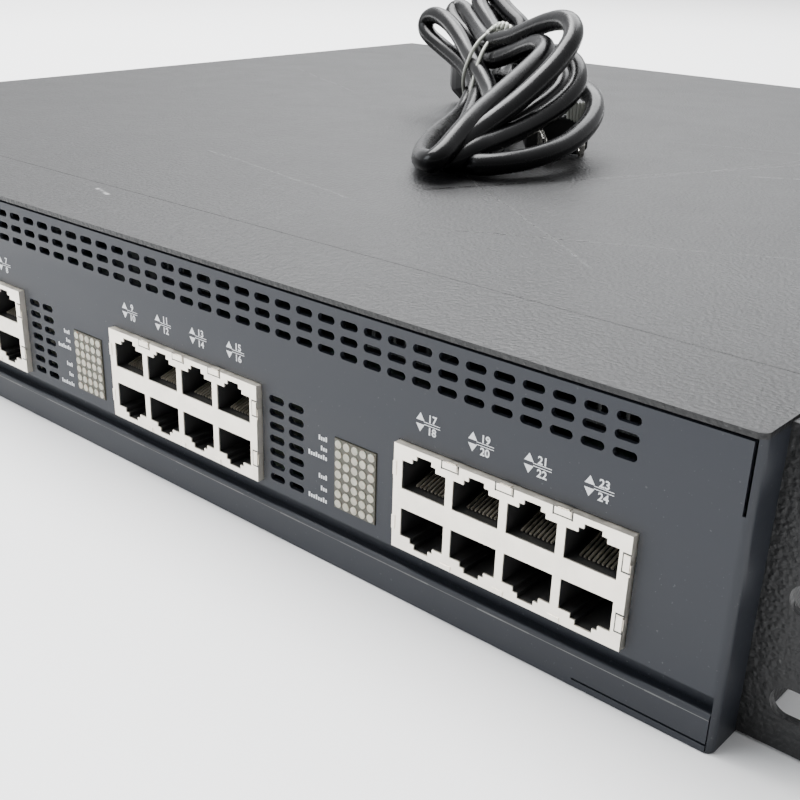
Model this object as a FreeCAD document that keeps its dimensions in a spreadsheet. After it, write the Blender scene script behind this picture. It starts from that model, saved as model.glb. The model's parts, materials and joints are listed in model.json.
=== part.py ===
import FreeCAD, Part
import Sketcher
import math
import os
import re

# A rack-mounted network switch, one and a half rack units tall, with three blocks of
# stacked modular jacks on its front and its power lead tied in a hank on the cover.
# Frame: +X to the right seen from the front, +Y to the back, +Z up, origin under the
# middle of the case.  Millimetres and degrees throughout.

doc = FreeCAD.newDocument("switch")
V = FreeCAD.Vector
TURN = FreeCAD.Rotation
UPRIGHT = TURN()
ALONG_X = TURN(V(0, 1, 0), 90)
ALONG_Y = TURN(V(1, 0, 0), -90)

SIZES = {
    # the case
    "case_wide": 440.0, "case_deep": 420.0, "case_tall": 66.5, "sheet": 1.2,
    "face_skin": 1.2, "corner_round": 1.8, "strip_deep": 31.0, "strip_gap": 0.6,
    "slit_wide": 0.65, "slit_low": 50.6, "case_gap": 0.2,
    "face_low": 12.8, "rail_top": 8.7, "rail_low": 0.0, "groove_deep": 3.6,
    "rail_round": 0.8, "rail_line_wide": 30.0, "rail_line_low": 1.5, "rail_line_tall": 0.45,
    # the long band of air slots, and the short columns of slots beside the jacks
    "slot_long": 5.2, "slot_tall": 1.9, "slot_pitch": 6.95, "slot_rows_apart": 3.6,
    "slot_low": 54.4, "slot_columns": 57,
    "side_slot_long": 5.1, "side_slot_tall": 1.9, "side_slot_pitch": 6.65,
    "side_slot_rise": 3.45, "side_slot_low": 16.5, "side_slot_left": 5.2,
    # jack blocks
    "block_left": -65.2, "block_pitch": 102.9, "block_wide": 58.8, "block_low": 14.4,
    "block_tall": 25.4, "block_deep": 26.0, "block_proud": 1.8, "shield_skin": 0.4,
    "jack_first": 2.44, "jack_pitch": 13.97, "jack_wide": 12.0, "jack_tall": 6.8,
    "jack_hollow": 14.0, "upper_jack_low": 15.1, "lower_jack_low": 3.5,
    "latch_wide": 6.4, "latch_rise": 1.1, "key_wide": 4.0, "key_rise": 2.2,
    "contact_pitch": 1.02, "contact_thick": 0.45, "contact_long": 8.4,
    # dot-matrix indicators
    "matrix_gap": 6.6, "matrix_wide": 12.7, "matrix_tall": 17.8, "matrix_low": 16.2,
    "matrix_deep": 7.0, "matrix_proud": 0.3, "dot_pitch": 2.54, "dot_radius": 0.98,
    "dot_deep": 0.8, "dot_proud": 0.2,
    # blank cover of the module bay
    "bay_left": -208.0, "bay_wide": 92.0, "bay_low": 16.0, "bay_tall": 30.0,
    "bay_plate": 1.4, "bay_margin": 4.0,
    # rack ears
    "ear_back": 10.0, "ear_thick": 2.0, "rack_wide": 482.6, "rack_holes": 465.1,
    "ear_low": 0.5, "ear_tall": 65.4, "ear_round": 5.0, "ear_flange": 44.0,
    "rack_slot_long": 14.6, "rack_slot_tall": 6.8, "rack_slot_rise": 22.225,
    # circuit boards
    "board_thick": 1.6, "board_wide": 410.0, "board_deep": 255.0, "board_low": 12.8,
    "board_front": 4.0, "stud_radius": 2.6, "screw_radius": 1.4, "screw_hole": 1.6,
    "head_radius": 2.7, "head_tall": 1.6,
    "supply_left": -205.0, "supply_wide": 150.0, "supply_front": 285.0,
    "supply_deep": 118.0, "supply_low": 9.0,
    # rear panel: fans, power inlet and serial port
    "fan_size": 40.0, "fan_deep": 20.0, "fan_bore": 18.6, "fan_pitch": 62.0,
    "fan_first": 70.0, "fan_centre": 33.0, "fan_holes": 32.0, "hub_radius": 9.0,
    "pin_radius": 1.5, "bearing_gap": 0.05, "blade_reach": 17.9, "guard_wire": 0.8,
    "rear_inset": 3.1, "inlet_place": -150.0, "inlet_centre": 31.0, "inlet_wide": 27.0,
    "inlet_tall": 19.8, "inlet_flange": 48.0, "inlet_flange_tall": 24.0, "inlet_lip": 2.0,
    "socket_wide": 24.4, "socket_tall": 16.8, "socket_deep": 16.0,
    "serial_place": -70.0, "serial_centre": 30.0,
    # the air between the power lead and the cover
    "cover_gap": 0.4,
}

sizes = doc.addObject("Spreadsheet::Sheet", "sizes")
for row, (alias, value) in enumerate(SIZES.items(), start=1):
    sizes.set("A%d" % row, alias.replace("_", " "))
    sizes.set("B%d" % row, repr(value))
    sizes.setAlias("B%d" % row, alias)
doc.recompute()


def size(alias):
    """The number that a cell of the sheet holds."""
    return float(sizes.get(alias))


def bind(thing, prop, formula):
    """Tie one property to the sheet: each word in the formula is an alias there."""
    thing.setExpression(prop, re.sub(r"([a-z][a-z_]*)", r"sizes.\1", str(formula)))


def place(thing, at, turn=UPRIGHT):
    """Put a thing at three formulas, turned as asked."""
    thing.Placement = FreeCAD.Placement(V(0, 0, 0), turn)
    for axis, formula in zip("xyz", at):
        bind(thing, "Placement.Base." + axis, formula)
    return thing


def box(name, spans, at):
    """A block of the given spans whose lowest corner is at the given place."""
    block = doc.addObject("Part::Box", name)
    for prop, formula in zip(("Length", "Width", "Height"), spans):
        bind(block, prop, formula)
    return place(block, at)


def rod(name, radius, length, at, turn=UPRIGHT):
    """A round rod that starts at the given place."""
    bar = doc.addObject("Part::Cylinder", name)
    bind(bar, "Radius", radius)
    bind(bar, "Height", length)
    return place(bar, at, turn)


def fuse(name, things):
    joined = doc.addObject("Part::MultiFuse", name)
    joined.Shapes = things
    return joined


def cut(name, base, tools):
    """The base with every tool taken out of it."""
    tool = tools[0] if len(tools) == 1 else fuse(name + "_tools", tools)
    rest = doc.addObject("Part::Cut", name)
    rest.Base = base
    rest.Tool = tool
    return rest


def group(name, things):
    """Alike pieces that stay separate solids in one sub-part."""
    together = doc.addObject("Part::Compound", name)
    together.Links = things
    return together


nodes = []


def node(thing, label):
    """Give a finished sub-part its own label."""
    thing.Label = label
    nodes.append(thing)
    return thing


def plane_of(body, role):
    return next(item for item in body.Origin.OriginFeatures if item.Role == role)


def sketch_on(body, role, name):
    sketch = body.newObject("Sketcher::SketchObject", name)
    sketch.AttachmentSupport = [(plane_of(body, role), "")]
    sketch.MapMode = "FlatFace"
    return sketch


def dimension(sketch, name, constraint, formula):
    """A named dimension of a sketch, tied to the sheet."""
    index = sketch.addConstraint(constraint)
    sketch.renameConstraint(index, name)
    bind(sketch, "Constraints." + name, formula)


def outline(sketch, name, left, low, wide, tall):
    """A rectangle in a sketch; the four sizes are pairs of a number and a formula."""
    x, y, w, h = left[0], low[0], wide[0], tall[0]
    corners = [V(x, y, 0), V(x + w, y, 0), V(x + w, y + h, 0), V(x, y + h, 0)]
    first = sketch.GeometryCount
    for start, end in zip(corners, corners[1:] + corners[:1]):
        sketch.addGeometry(Part.LineSegment(start, end))
    for edge in range(4):
        following = first + (edge + 1) % 4
        sketch.addConstraint(Sketcher.Constraint("Coincident", first + edge, 2, following, 1))
    for edge in (0, 2):
        sketch.addConstraint(Sketcher.Constraint("Horizontal", first + edge))
        sketch.addConstraint(Sketcher.Constraint("Vertical", first + edge + 1))
    dimension(sketch, name + "_left", Sketcher.Constraint("DistanceX", -1, 1, first, 1, x), left[1])
    dimension(sketch, name + "_low", Sketcher.Constraint("DistanceY", -1, 1, first, 1, y), low[1])
    dimension(sketch, name + "_wide", Sketcher.Constraint("DistanceX", first, 1, first, 2, w), wide[1])
    dimension(sketch, name + "_tall", Sketcher.Constraint("DistanceY", first + 1, 1, first + 1, 2, h),
              tall[1])


def slot(sketch, name, centre, rise, long, tall):
    """A level slot with round ends, measured from its middle."""
    half = (long[0] - tall[0]) / 2.0
    radius = tall[0] / 2.0
    x, y = centre[0], rise[0]
    ends = [V(x - half, y, 0), V(x + half, y, 0)]
    first = sketch.GeometryCount
    left_arc = Part.ArcOfCircle(Part.Circle(ends[0], V(0, 0, 1), radius), math.pi / 2, 1.5 * math.pi)
    right_arc = Part.ArcOfCircle(Part.Circle(ends[1], V(0, 0, 1), radius), -math.pi / 2, math.pi / 2)
    sketch.addGeometry(left_arc)
    sketch.addGeometry(right_arc)
    for side in (radius, -radius):
        step = V(0, side, 0)
        sketch.addGeometry(Part.LineSegment(ends[0] + step, ends[1] + step))
    top, low = first + 2, first + 3
    for arc, arc_end, line, line_end in ((first, 1, top, 1), (first, 2, low, 1),
                                         (first + 1, 1, low, 2), (first + 1, 2, top, 2)):
        sketch.addConstraint(Sketcher.Constraint("Tangent", arc, arc_end, line, line_end))
    sketch.addConstraint(Sketcher.Constraint("Horizontal", top))
    dimension(sketch, name + "_round", Sketcher.Constraint("Radius", first, radius), tall[1] + "/2")
    dimension(sketch, name + "_run", Sketcher.Constraint("DistanceX", first, 3, first + 1, 3, 2 * half),
              long[1] + " - " + tall[1])
    dimension(sketch, name + "_left", Sketcher.Constraint("DistanceX", -1, 1, first, 3, x - half),
              "%s - (%s - %s)/2" % (centre[1], long[1], tall[1]))
    dimension(sketch, name + "_rise", Sketcher.Constraint("DistanceY", -1, 1, first, 3, y), rise[1])


def through(body, sketch, name):
    """Cut a sketch right through the body, both ways."""
    pocket = body.newObject("PartDesign::Pocket", name)
    pocket.Profile = sketch
    pocket.Type = "ThroughAll"
    pocket.SideType = "Symmetric"
    sketch.Visibility = False
    doc.recompute()
    return pocket


def row_of(body, feature, sketch, name, pitch, count, axis="H_Axis"):
    """Repeat a feature in a row along one axis of its sketch."""
    pattern = body.newObject("PartDesign::LinearPattern", name)
    pattern.Originals = [feature]
    pattern.Direction = (sketch, [axis])
    pattern.Mode = "Spacing"
    bind(pattern, "Offset", pitch)
    bind(pattern, "Occurrences", count)
    body.Tip = pattern
    doc.recompute()
    return pattern


reckoning = doc.addObject("Spreadsheet::Sheet", "reckoning")


def known(formula):
    """A formula with the number that it gives now, which a new sketch starts from."""
    reckoning.set("A1", "=" + re.sub(r"([a-z][a-z_]*)", r"sizes.\1", formula))
    reckoning.recompute()
    return float(reckoning.get("A1")), formula


FRONT = "-case_deep/2"
REAR = "case_deep/2 - rear_inset"


def screw(name, at, turn, length):
    """A pan-head screw: its head stands at the given place and its shank runs on from it."""
    x, y, z = at
    head = rod(name + "_head", "head_radius", "head_tall", at, turn)
    shank = rod(name + "_shank", "screw_radius", length + " + head_tall", (x, y, z), turn)
    return fuse(name, [head, shank])


# ---------------------------------------------------------------- front of the case
def front_shell():
    """The folded front sheet: face, side returns, air slots and cut-outs."""
    body = doc.addObject("PartDesign::Body", "front_shell_body")
    base = sketch_on(body, "XY_Plane", "base")
    outline(base, "outer", known("-case_wide/2"), known("0*sheet"), known("case_wide"),
            known("strip_deep"))
    pad = body.newObject("PartDesign::Pad", "blank")
    pad.Profile = base
    bind(pad, "Length", "case_tall - sheet")
    doc.recompute()

    corners = [
        "Edge%d" % number
        for number, edge in enumerate(pad.Shape.Edges, start=1)
        if edge.BoundBox.ZLength > size("case_tall") / 2 and edge.BoundBox.YMax < 1
    ]
    rounded = body.newObject("PartDesign::Fillet", "rounded_corners")
    rounded.Base = (pad, corners)
    bind(rounded, "Radius", "corner_round")
    doc.recompute()

    hollow = sketch_on(body, "XY_Plane", "hollow")
    outline(hollow, "hollow", known("-case_wide/2 + face_skin"), known("face_skin"),
            known("case_wide - 2*face_skin"), known("strip_deep"))
    through(body, hollow, "hollowed")

    below = sketch_on(body, "XZ_Plane", "below")
    outline(below, "groove", known("-case_wide/2 + face_skin"), known("-sheet"),
            known("case_wide - 2*face_skin"), known("face_low + sheet"))
    through(body, below, "open_below")

    slits = sketch_on(body, "XZ_Plane", "slits")
    outline(slits, "left", known("-case_wide/2 + face_skin"), known("slit_low"),
            known("slit_wide"), known("case_tall - slit_low"))
    outline(slits, "right", known("case_wide/2 - face_skin - slit_wide"), known("slit_low"),
            known("slit_wide"), known("case_tall - slit_low"))
    outline(slits, "above", known("-case_wide/2 + face_skin + slit_wide"),
            known("case_tall - sheet - strip_gap"), known("case_wide - 2*face_skin - 2*slit_wide"),
            known("strip_gap + sheet"))
    through(body, slits, "slit")

    air = sketch_on(body, "XZ_Plane", "air")
    for level in range(3):
        slot(air, "row%s" % "abc"[level], known("-slot_pitch*(slot_columns - 1)/2"),
             known("slot_low + %d*slot_rows_apart" % level), known("slot_long"), known("slot_tall"))
    row_of(body, through(body, air, "air_slots"), air, "air_band", "slot_pitch", "slot_columns")

    beside = sketch_on(body, "XZ_Plane", "beside")
    for column in range(2):
        for level in range(7):
            slot(beside, "slot%s%s" % ("ab"[column], "abcdefg"[level]),
                 known("block_left - block_pitch + block_wide + side_slot_left + %d*side_slot_pitch"
                       % column),
                 known("side_slot_low + %d*side_slot_rise" % level),
                 known("side_slot_long"), known("side_slot_tall"))
    row_of(body, through(body, beside, "side_slots"), beside, "side_slot_groups", "block_pitch", 3)

    windows = sketch_on(body, "XZ_Plane", "windows")
    outline(windows, "block", known("block_left - case_gap"), known("block_low - case_gap"),
            known("block_wide + 2*case_gap"), known("block_tall + 2*case_gap"))
    outline(windows, "matrix", known("block_left - matrix_gap - matrix_wide - case_gap"),
            known("matrix_low - case_gap"), known("matrix_wide + 2*case_gap"),
            known("matrix_tall + 2*case_gap"))
    row_of(body, through(body, windows, "window"), windows, "window_row", "block_pitch", 3)

    bay = sketch_on(body, "XZ_Plane", "bay")
    outline(bay, "bay", known("bay_left + 2*bay_margin"), known("bay_low + bay_margin"),
            known("bay_wide - 4*bay_margin"), known("bay_tall - 2*bay_margin"))
    through(body, bay, "bay_opening")
    body.Tip = body.Group[-1]
    doc.recompute()
    return node(place(body, ("0", FRONT, "0")), "front_shell")


def top_strip():
    """The strip of sheet above the face, with rounded front corners."""
    plate = box("strip_plate", ("case_wide", "strip_deep - case_gap", "sheet"),
                ("-case_wide/2", FRONT, "case_tall - sheet"))
    doc.recompute()
    edges = []
    for number, edge in enumerate(plate.Shape.Edges, start=1):
        reach = edge.BoundBox
        upright = reach.ZLength > 0.9 and reach.XLength < 0.01 and reach.YLength < 0.01
        if upright and abs(reach.YMin + size("case_deep") / 2) < 0.01 and abs(reach.XMin) > 219.9:
            edges.append((number, size("corner_round"), size("corner_round")))
    rounded = doc.addObject("Part::Fillet", "strip_rounded")
    rounded.Base = plate
    rounded.Edges = edges
    return node(rounded, "top_strip")


def lower_rail():
    """The rounded rail under the face, with the dark shelf and wall of the groove."""
    wide = "case_wide - 2*face_skin - 2*case_gap"
    left = "-case_wide/2 + face_skin + case_gap"
    body = doc.addObject("PartDesign::Body", "lower_rail_body")
    profile = sketch_on(body, "YZ_Plane", "rail_profile")
    outline(profile, "rail", known("0*sheet"), known("rail_low"), known("face_skin"),
            known("rail_top - rail_low"))
    pad = body.newObject("PartDesign::Pad", "rail")
    pad.Profile = profile
    bind(pad, "Length", wide)
    doc.recompute()
    edge = [
        "Edge%d" % number
        for number, found in enumerate(pad.Shape.Edges, start=1)
        if found.BoundBox.XLength > 100 and found.BoundBox.YMax < 0.1
        and found.BoundBox.ZMin > size("rail_top") - 0.1
    ]
    rounded = body.newObject("PartDesign::Fillet", "rail_rounded")
    rounded.Base = (pad, edge)
    bind(rounded, "Radius", "rail_round")
    doc.recompute()
    place(body, (left, FRONT, "0"))
    shelf = box("groove_shelf", (wide, "groove_deep", "sheet"),
                (left, FRONT + " + face_skin/2", "rail_top - sheet - 0.3"))
    wall = box("groove_wall", (wide, "sheet", "board_low - rail_top + sheet"),
               (left, FRONT + " + groove_deep - sheet/2", "rail_top - sheet - 0.3"))
    line = box("rail_line", ("rail_line_wide + 1", "face_skin*2", "rail_line_tall"),
               ("case_wide/2 - face_skin - case_gap - rail_line_wide", FRONT + " - 1",
                "rail_line_low"))
    return node(cut("lower_rail_cut", fuse("rail_joined", [body, shelf, wall]), [line]), "lower_rail")


# ---------------------------------------------------------------- pan, cover, rear panel
def tray():
    """The pan: floor, low side flanges and a low front flange."""
    inside = "case_wide - 2*sheet - 2*case_gap"
    left = "-case_wide/2 + sheet + case_gap"
    start = FRONT + " + face_skin + case_gap"
    floor = box("pan_floor", ("case_wide - 2*face_skin - 2*case_gap",
                              "case_deep - face_skin - case_gap", "sheet"),
                ("-case_wide/2 + face_skin + case_gap", start, "0"))
    sill = box("pan_sill", ("case_wide - 2*face_skin - 2*case_gap", "sheet", "6.4"),
               ("-case_wide/2 + face_skin + case_gap", start, "0"))
    sides = [
        box("pan_side_" + tag, ("sheet", "case_deep - strip_deep - 2 - rear_inset - sheet - 2*case_gap",
                               "14"),
            (place_x, FRONT + " + strip_deep + 2", "0"))
        for tag, place_x in (("left", left + " + 0.3"), ("right", left + " + " + inside + " - sheet - 0.3"))
    ]
    return node(fuse("tray_joined", [floor, sill] + sides), "chassis_tray")


def cover():
    """The top cover: a plate with full-height sides, screwed on from the sides."""
    long = "case_deep - strip_deep"
    start = FRONT + " + strip_deep"
    outer = box("cover_outer", ("case_wide", long, "case_tall"), ("-case_wide/2", start, "0"))
    inner = box("cover_inner", ("case_wide - 2*sheet", long + " + 2", "case_tall - sheet + 1"),
                ("-case_wide/2 + sheet", start + " - 1", "-1"))
    holes = [
        rod("cover_hole_%s_%d" % (side, number), "screw_hole", "sheet*3",
            (x, "%s + strip_deep + %d" % (FRONT, 120 + 110 * number), "7.6"), ALONG_X)
        for side, x in (("left", "-case_wide/2 - sheet"), ("right", "case_wide/2 - sheet*2"))
        for number in range(3)
    ]
    vents = [
        box("cover_vent_%s_%d" % (side, number), ("sheet*3", "2.4", "26"),
            (x, "%s + %d" % (FRONT, 150 + 6 * number), "22"))
        for side, x in (("left", "-case_wide/2 - sheet"), ("right", "case_wide/2 - sheet*2"))
        for number in range(24)
    ]
    return node(cut("cover_cut", outer, [inner] + holes + vents), "top_cover")


def rear_panel():
    """The back wall, with openings for the fans, the inlet and the serial port."""
    plate = box("rear_plate", ("case_wide - 2*sheet - 2*case_gap", "sheet",
                               "case_tall - 2*sheet - 2*case_gap"),
                ("-case_wide/2 + sheet + case_gap", REAR + " - sheet", "sheet + case_gap"))
    reach = REAR + " - sheet*4"
    openings = []
    for number in range(2):
        middle = "fan_first + %d*fan_pitch" % number
        openings.append(rod("fan_opening_%d" % number, "fan_bore", "sheet*6",
                            (middle, reach, "fan_centre"), ALONG_Y))
        for side, level in ((-1, -1), (-1, 1), (1, -1), (1, 1)):
            tag = "%d_%s%s" % (number, "lr"[side > 0], "du"[level > 0])
            openings.append(rod("fan_hole_" + tag, "screw_hole", "sheet*6",
                                ("%s + %d*fan_holes/2" % (middle, side), reach,
                                 "fan_centre + %d*fan_holes/2" % level), ALONG_Y))
    openings.append(box("inlet_opening", ("inlet_wide + 2*case_gap", "sheet*6",
                                          "inlet_tall + 2*case_gap"),
                        ("inlet_place - inlet_wide/2 - case_gap", reach,
                         "inlet_centre - inlet_tall/2 - case_gap")))
    openings.append(box("serial_opening", ("18", "sheet*6", "9.4"),
                        ("serial_place - 9", reach, "serial_centre - 4.7")))
    for column in range(10):
        for level in range(4):
            openings.append(box("rear_vent_%d_%d" % (column, level), ("6", "sheet*6", "2.2"),
                                ("-30 + %d" % (8 * column), reach, "22 + %d" % (5 * level))))
    return node(cut("rear_cut", plate, openings), "rear_panel")


# ---------------------------------------------------------------- rack ears
def rack_ear(side):
    """An angle bracket with three slots; side is 1 on the right and -1 on the left."""
    reach = "(rack_wide - case_wide)/2"
    plate_left = "case_wide/2" if side > 0 else "-rack_wide/2"
    flange_left = "case_wide/2" if side > 0 else "-case_wide/2 - ear_thick"
    name = "right" if side > 0 else "left"
    plate = box("ear_plate_" + name, (reach, "ear_thick", "ear_tall"),
                (plate_left, FRONT + " + ear_back", "ear_low"))
    flange = box("ear_flange_" + name, ("ear_thick", "ear_flange", "ear_tall"),
                 (flange_left, FRONT + " + ear_back", "ear_low"))
    joined = fuse("ear_joined_" + name, [plate, flange])
    tools = []
    for level in range(-1, 2):
        middle = "case_tall/2 + %d*rack_slot_rise" % level
        run = "(rack_slot_long - rack_slot_tall)/2"
        tag = "%s_%s" % (name, "abc"[level + 1])
        tools.append(box("ear_slot_" + tag, ("rack_slot_long - rack_slot_tall", "ear_thick*3",
                                             "rack_slot_tall"),
                         ("%d*rack_holes/2 - %s" % (side, run), FRONT + " + ear_back - ear_thick",
                          middle + " - rack_slot_tall/2")))
        for end in (-1, 1):
            tools.append(rod("ear_end_%s_%s" % (tag, "ab"[end > 0]), "rack_slot_tall/2",
                             "ear_thick*3", ("%d*rack_holes/2 + %d*%s" % (side, end, run),
                                             FRONT + " + ear_back - ear_thick", middle), ALONG_Y))
    for level in (0, 1):
        for column in (0, 1):
            tools.append(rod("ear_bore_%s_%d%d" % (name, level, column), "screw_hole",
                             "ear_thick*3", (flange_left + " - ear_thick",
                                             "%s + ear_back + %d" % (FRONT, 14 + 18 * column),
                                             "%d" % (16 + 34 * level)), ALONG_X))
    drilled = cut("ear_cut_" + name, joined, tools)
    doc.recompute()
    edges = []
    for number, edge in enumerate(drilled.Shape.Edges, start=1):
        spot = edge.BoundBox
        across = spot.YLength > 1.5 and spot.XLength < 0.01 and spot.ZLength < 0.01
        if across and spot.YLength < 3 and abs(abs(spot.XMin) - size("rack_wide") / 2) < 0.01:
            edges.append((number, size("ear_round"), size("ear_round")))
    rounded = doc.addObject("Part::Fillet", "ear_rounded_" + name)
    rounded.Base = drilled
    rounded.Edges = edges
    return node(rounded, "rack_ear_" + name)


def ear_screws():
    """Four screws hold each ear to the side of the case."""
    screws = []
    for side in (-1, 1):
        turn = ALONG_X if side < 0 else TURN(V(0, 1, 0), -90)
        x = "%d*(case_wide/2 + ear_thick + head_tall)" % side
        for level in (0, 1):
            for column in (0, 1):
                screws.append(screw("ear_screw_%s_%d%d" % ("lr"[side > 0], level, column),
                                    (x, "%s + ear_back + %d" % (FRONT, 14 + 18 * column),
                                     "%d" % (16 + 34 * level)), turn, "1.9"))
    return node(group("ear_screw_group", screws), "ear_screws")


def cover_screws():
    """Three screws along each side hold the cover to the pan."""
    screws = []
    for side in (-1, 1):
        turn = ALONG_X if side < 0 else TURN(V(0, 1, 0), -90)
        x = "%d*(case_wide/2 + head_tall)" % side
        for number in range(3):
            y = "%s + strip_deep + %d" % (FRONT, 120 + 110 * number)
            screws.append(screw("cover_screw_%s_%d" % ("lr"[side > 0], number), (x, y, "7.6"),
                                turn, "1.2"))
    return node(group("cover_screw_group", screws), "cover_screws")


# ---------------------------------------------------------------- jack blocks
def jack_tools(tag, depth, start, grow="0"):
    """The stepped opening of each jack of one block, as cutting blocks."""
    tools = []
    for column in range(4):
        left = "jack_first + %d*jack_pitch" % column
        for row in ("lower", "upper"):
            low = row + "_jack_low"
            name = "%s_%s_%d" % (tag, row, column)
            tools.append(box(name, ("jack_wide", depth, "jack_tall"), (left, start, low)))
            for step, wide, rise in (("latch", "latch_wide", "latch_rise"), ("key", "key_wide",
                                                                            "key_rise")):
                base = low + " + jack_tall - 0.5" if row == "upper" else "%s - %s" % (low, rise)
                tools.append(box("%s_%s" % (name, step), (wide, depth, rise + " + 0.5"),
                                 ("%s + (jack_wide - %s)/2" % (left, wide), start, base)))
    return tools


def block_at(thing, number):
    """Stand one block's piece in its window."""
    return place(thing, ("block_left + %d*block_pitch" % number, FRONT + " - block_proud",
                         "block_low"))


def jack_shield(number):
    """The folded metal shield of a block, with spring fingers at its edges."""
    tag = "shield_%d" % number
    outer = box(tag + "_outer", ("block_wide", "block_deep", "block_tall"), ("0", "0", "0"))
    inner = box(tag + "_inner", ("block_wide - 2*shield_skin", "block_deep",
                                 "block_tall - shield_skin + 1"),
                ("shield_skin", "shield_skin", "-1"))
    fingers = []
    for place_x in range(3):
        fingers.append(box("%s_top_%d" % (tag, place_x), ("2.6", "1.1", "0.4"),
                           ("jack_first + %d*jack_pitch - (jack_pitch - jack_wide)/2 - 1.3"
                            % (place_x + 1), "0.15", "block_tall - 0.22")))
    for level, low in enumerate(("4.7", "16.7")):
        for side, x in (("left", "-0.18"), ("right", "block_wide - 0.22")):
            fingers.append(box("%s_%s_%d" % (tag, side, level), ("0.4", "1.1", "2.6"),
                               (x, "0.15", low)))
    shell = cut(tag + "_shell", outer, [inner])
    opened = cut(tag + "_opened", shell, jack_tools(tag, "shield_skin + 2", "-1"))
    return node(block_at(fuse(tag + "_whole", [opened] + fingers), number),
                "jack_shield_%d" % (number + 1))


def jack_insert(number):
    """The dark plastic housing inside a shield, hollowed for eight jacks."""
    tag = "insert_%d" % number
    core = box(tag + "_core", ("block_wide - 2*shield_skin", "block_deep - 1.4",
                               "block_tall - shield_skin"),
               ("shield_skin", "shield_skin", "0"))
    hollows = jack_tools(tag, "jack_hollow", "0.2")
    return node(block_at(cut(tag + "_hollowed", core, hollows), number),
                "jack_insert_%d" % (number + 1))


def jack_contacts(number):
    """Eight slanted spring wires in every jack: at the floor above, at the roof below."""
    wires = []
    for column in range(4):
        for row in ("lower", "upper"):
            slant = 17.0 if row == "upper" else -17.0
            base = "upper_jack_low + 0.3" if row == "upper" else "lower_jack_low + jack_tall - 0.75"
            for wire in range(8):
                place_x = ("jack_first + %d*jack_pitch + jack_wide/2 + %s*contact_pitch"
                           " - contact_thick/2" % (column, wire - 3.5))
                spring = box("wire_%d_%s_%d_%d" % (number, row, column, wire),
                             ("contact_thick", "contact_long", "contact_thick"), ("0", "0", "0"))
                wires.append(place(spring, (place_x, "2.4", base), TURN(V(1, 0, 0), slant)))
    return node(block_at(group("contacts_%d" % number, wires), number),
                "jack_contacts_%d" % (number + 1))


# ---------------------------------------------------------------- dot-matrix indicators
def dot_rods(tag, radius, depth, start):
    """Seven rows of five dots, centred on the indicator."""
    return [
        rod("%s_%d_%d" % (tag, column, row), radius, depth,
            ("matrix_wide/2 + %d*dot_pitch" % (column - 2), start,
             "matrix_tall/2 + %d*dot_pitch" % (row - 3)), ALONG_Y)
        for column in range(5)
        for row in range(7)
    ]


def matrix_at(thing, number):
    return place(thing, ("block_left - matrix_gap - matrix_wide + %d*block_pitch" % number,
                         FRONT + " - matrix_proud", "matrix_low"))


def matrix_frame(number):
    tag = "frame_%d" % number
    block = box(tag + "_block", ("matrix_wide", "matrix_deep", "matrix_tall"), ("0", "0", "0"))
    holes = dot_rods(tag + "_hole", "dot_radius + 0.04", "dot_deep + 1", "-1")
    return node(matrix_at(cut(tag + "_drilled", block, holes), number),
                "matrix_frame_%d" % (number + 1))


def matrix_dots(number):
    dots = dot_rods("dot_%d" % number, "dot_radius", "dot_deep + dot_proud", "-dot_proud")
    return node(matrix_at(group("dots_%d" % number, dots), number), "matrix_dots_%d" % (number + 1))


# ---------------------------------------------------------------- module bay
BAY_SCREW_X = ("bay_left + bay_margin", "bay_left + bay_wide - bay_margin")


def bay_cover():
    """The blank plate over the empty module bay."""
    plate = box("bay_blank", ("bay_wide", "bay_plate", "bay_tall"),
                ("bay_left", FRONT + " - bay_plate", "bay_low"))
    fold = box("bay_fold", ("bay_wide - 4*bay_margin - 1", "12", "sheet"),
               ("bay_left + 2*bay_margin + 0.5", FRONT + " - bay_plate/2",
                "bay_low + bay_margin + 0.6"))
    holes = [
        rod("bay_hole_%d" % number, "screw_hole", "bay_plate*3",
            (x, FRONT + " - bay_plate*2", "bay_low + bay_tall/2"), ALONG_Y)
        for number, x in enumerate(BAY_SCREW_X)
    ]
    return node(cut("bay_drilled", fuse("bay_joined", [plate, fold]), holes), "bay_cover")


def bay_screws():
    """A screw at each end of the blank plate."""
    screws = [
        screw("bay_screw_%d" % number, (x, FRONT + " - bay_plate - head_tall",
                                       "bay_low + bay_tall/2"), ALONG_Y, "bay_plate")
        for number, x in enumerate(BAY_SCREW_X)
    ]
    return node(group("bay_screw_group", screws), "bay_screws")


# ---------------------------------------------------------------- circuit boards
BOARD_STUDS = [(-195, 14), (0, 34), (204, 34), (-195, 246), (0, 246), (195, 246), (-95, 130),
               (95, 130)]
SUPPLY_STUDS = [(6, 6), (144, 6), (6, 112), (144, 112)]
BOARD_TOP = "board_low + board_thick"
SUPPLY_TOP = "supply_low + board_thick"


def main_board():
    """The main circuit board, drilled over its studs."""
    board = box("board_blank", ("board_wide", "board_deep", "board_thick"),
                ("-board_wide/2", FRONT + " + board_front + groove_deep", "board_low"))
    holes = [
        rod("board_hole_%d" % number, "screw_hole", "board_thick*3",
            (x, "%s + board_front + %d" % (FRONT, y), "board_low - board_thick"))
        for number, (x, y) in enumerate(BOARD_STUDS)
    ]
    return node(cut("board_drilled", board, holes), "main_board")


def studs():
    """Standoffs under both boards."""
    posts = [
        rod("board_stud_%d" % number, "stud_radius", "board_low - sheet",
            (x, "%s + board_front + %d" % (FRONT, y), "sheet"))
        for number, (x, y) in enumerate(BOARD_STUDS)
    ]
    posts += [
        rod("supply_stud_%d" % number, "stud_radius", "supply_low - sheet",
            ("supply_left + %d" % x, "%s + supply_front + %d" % (FRONT, y), "sheet"))
        for number, (x, y) in enumerate(SUPPLY_STUDS)
    ]
    return node(group("stud_group", posts), "board_studs")


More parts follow.
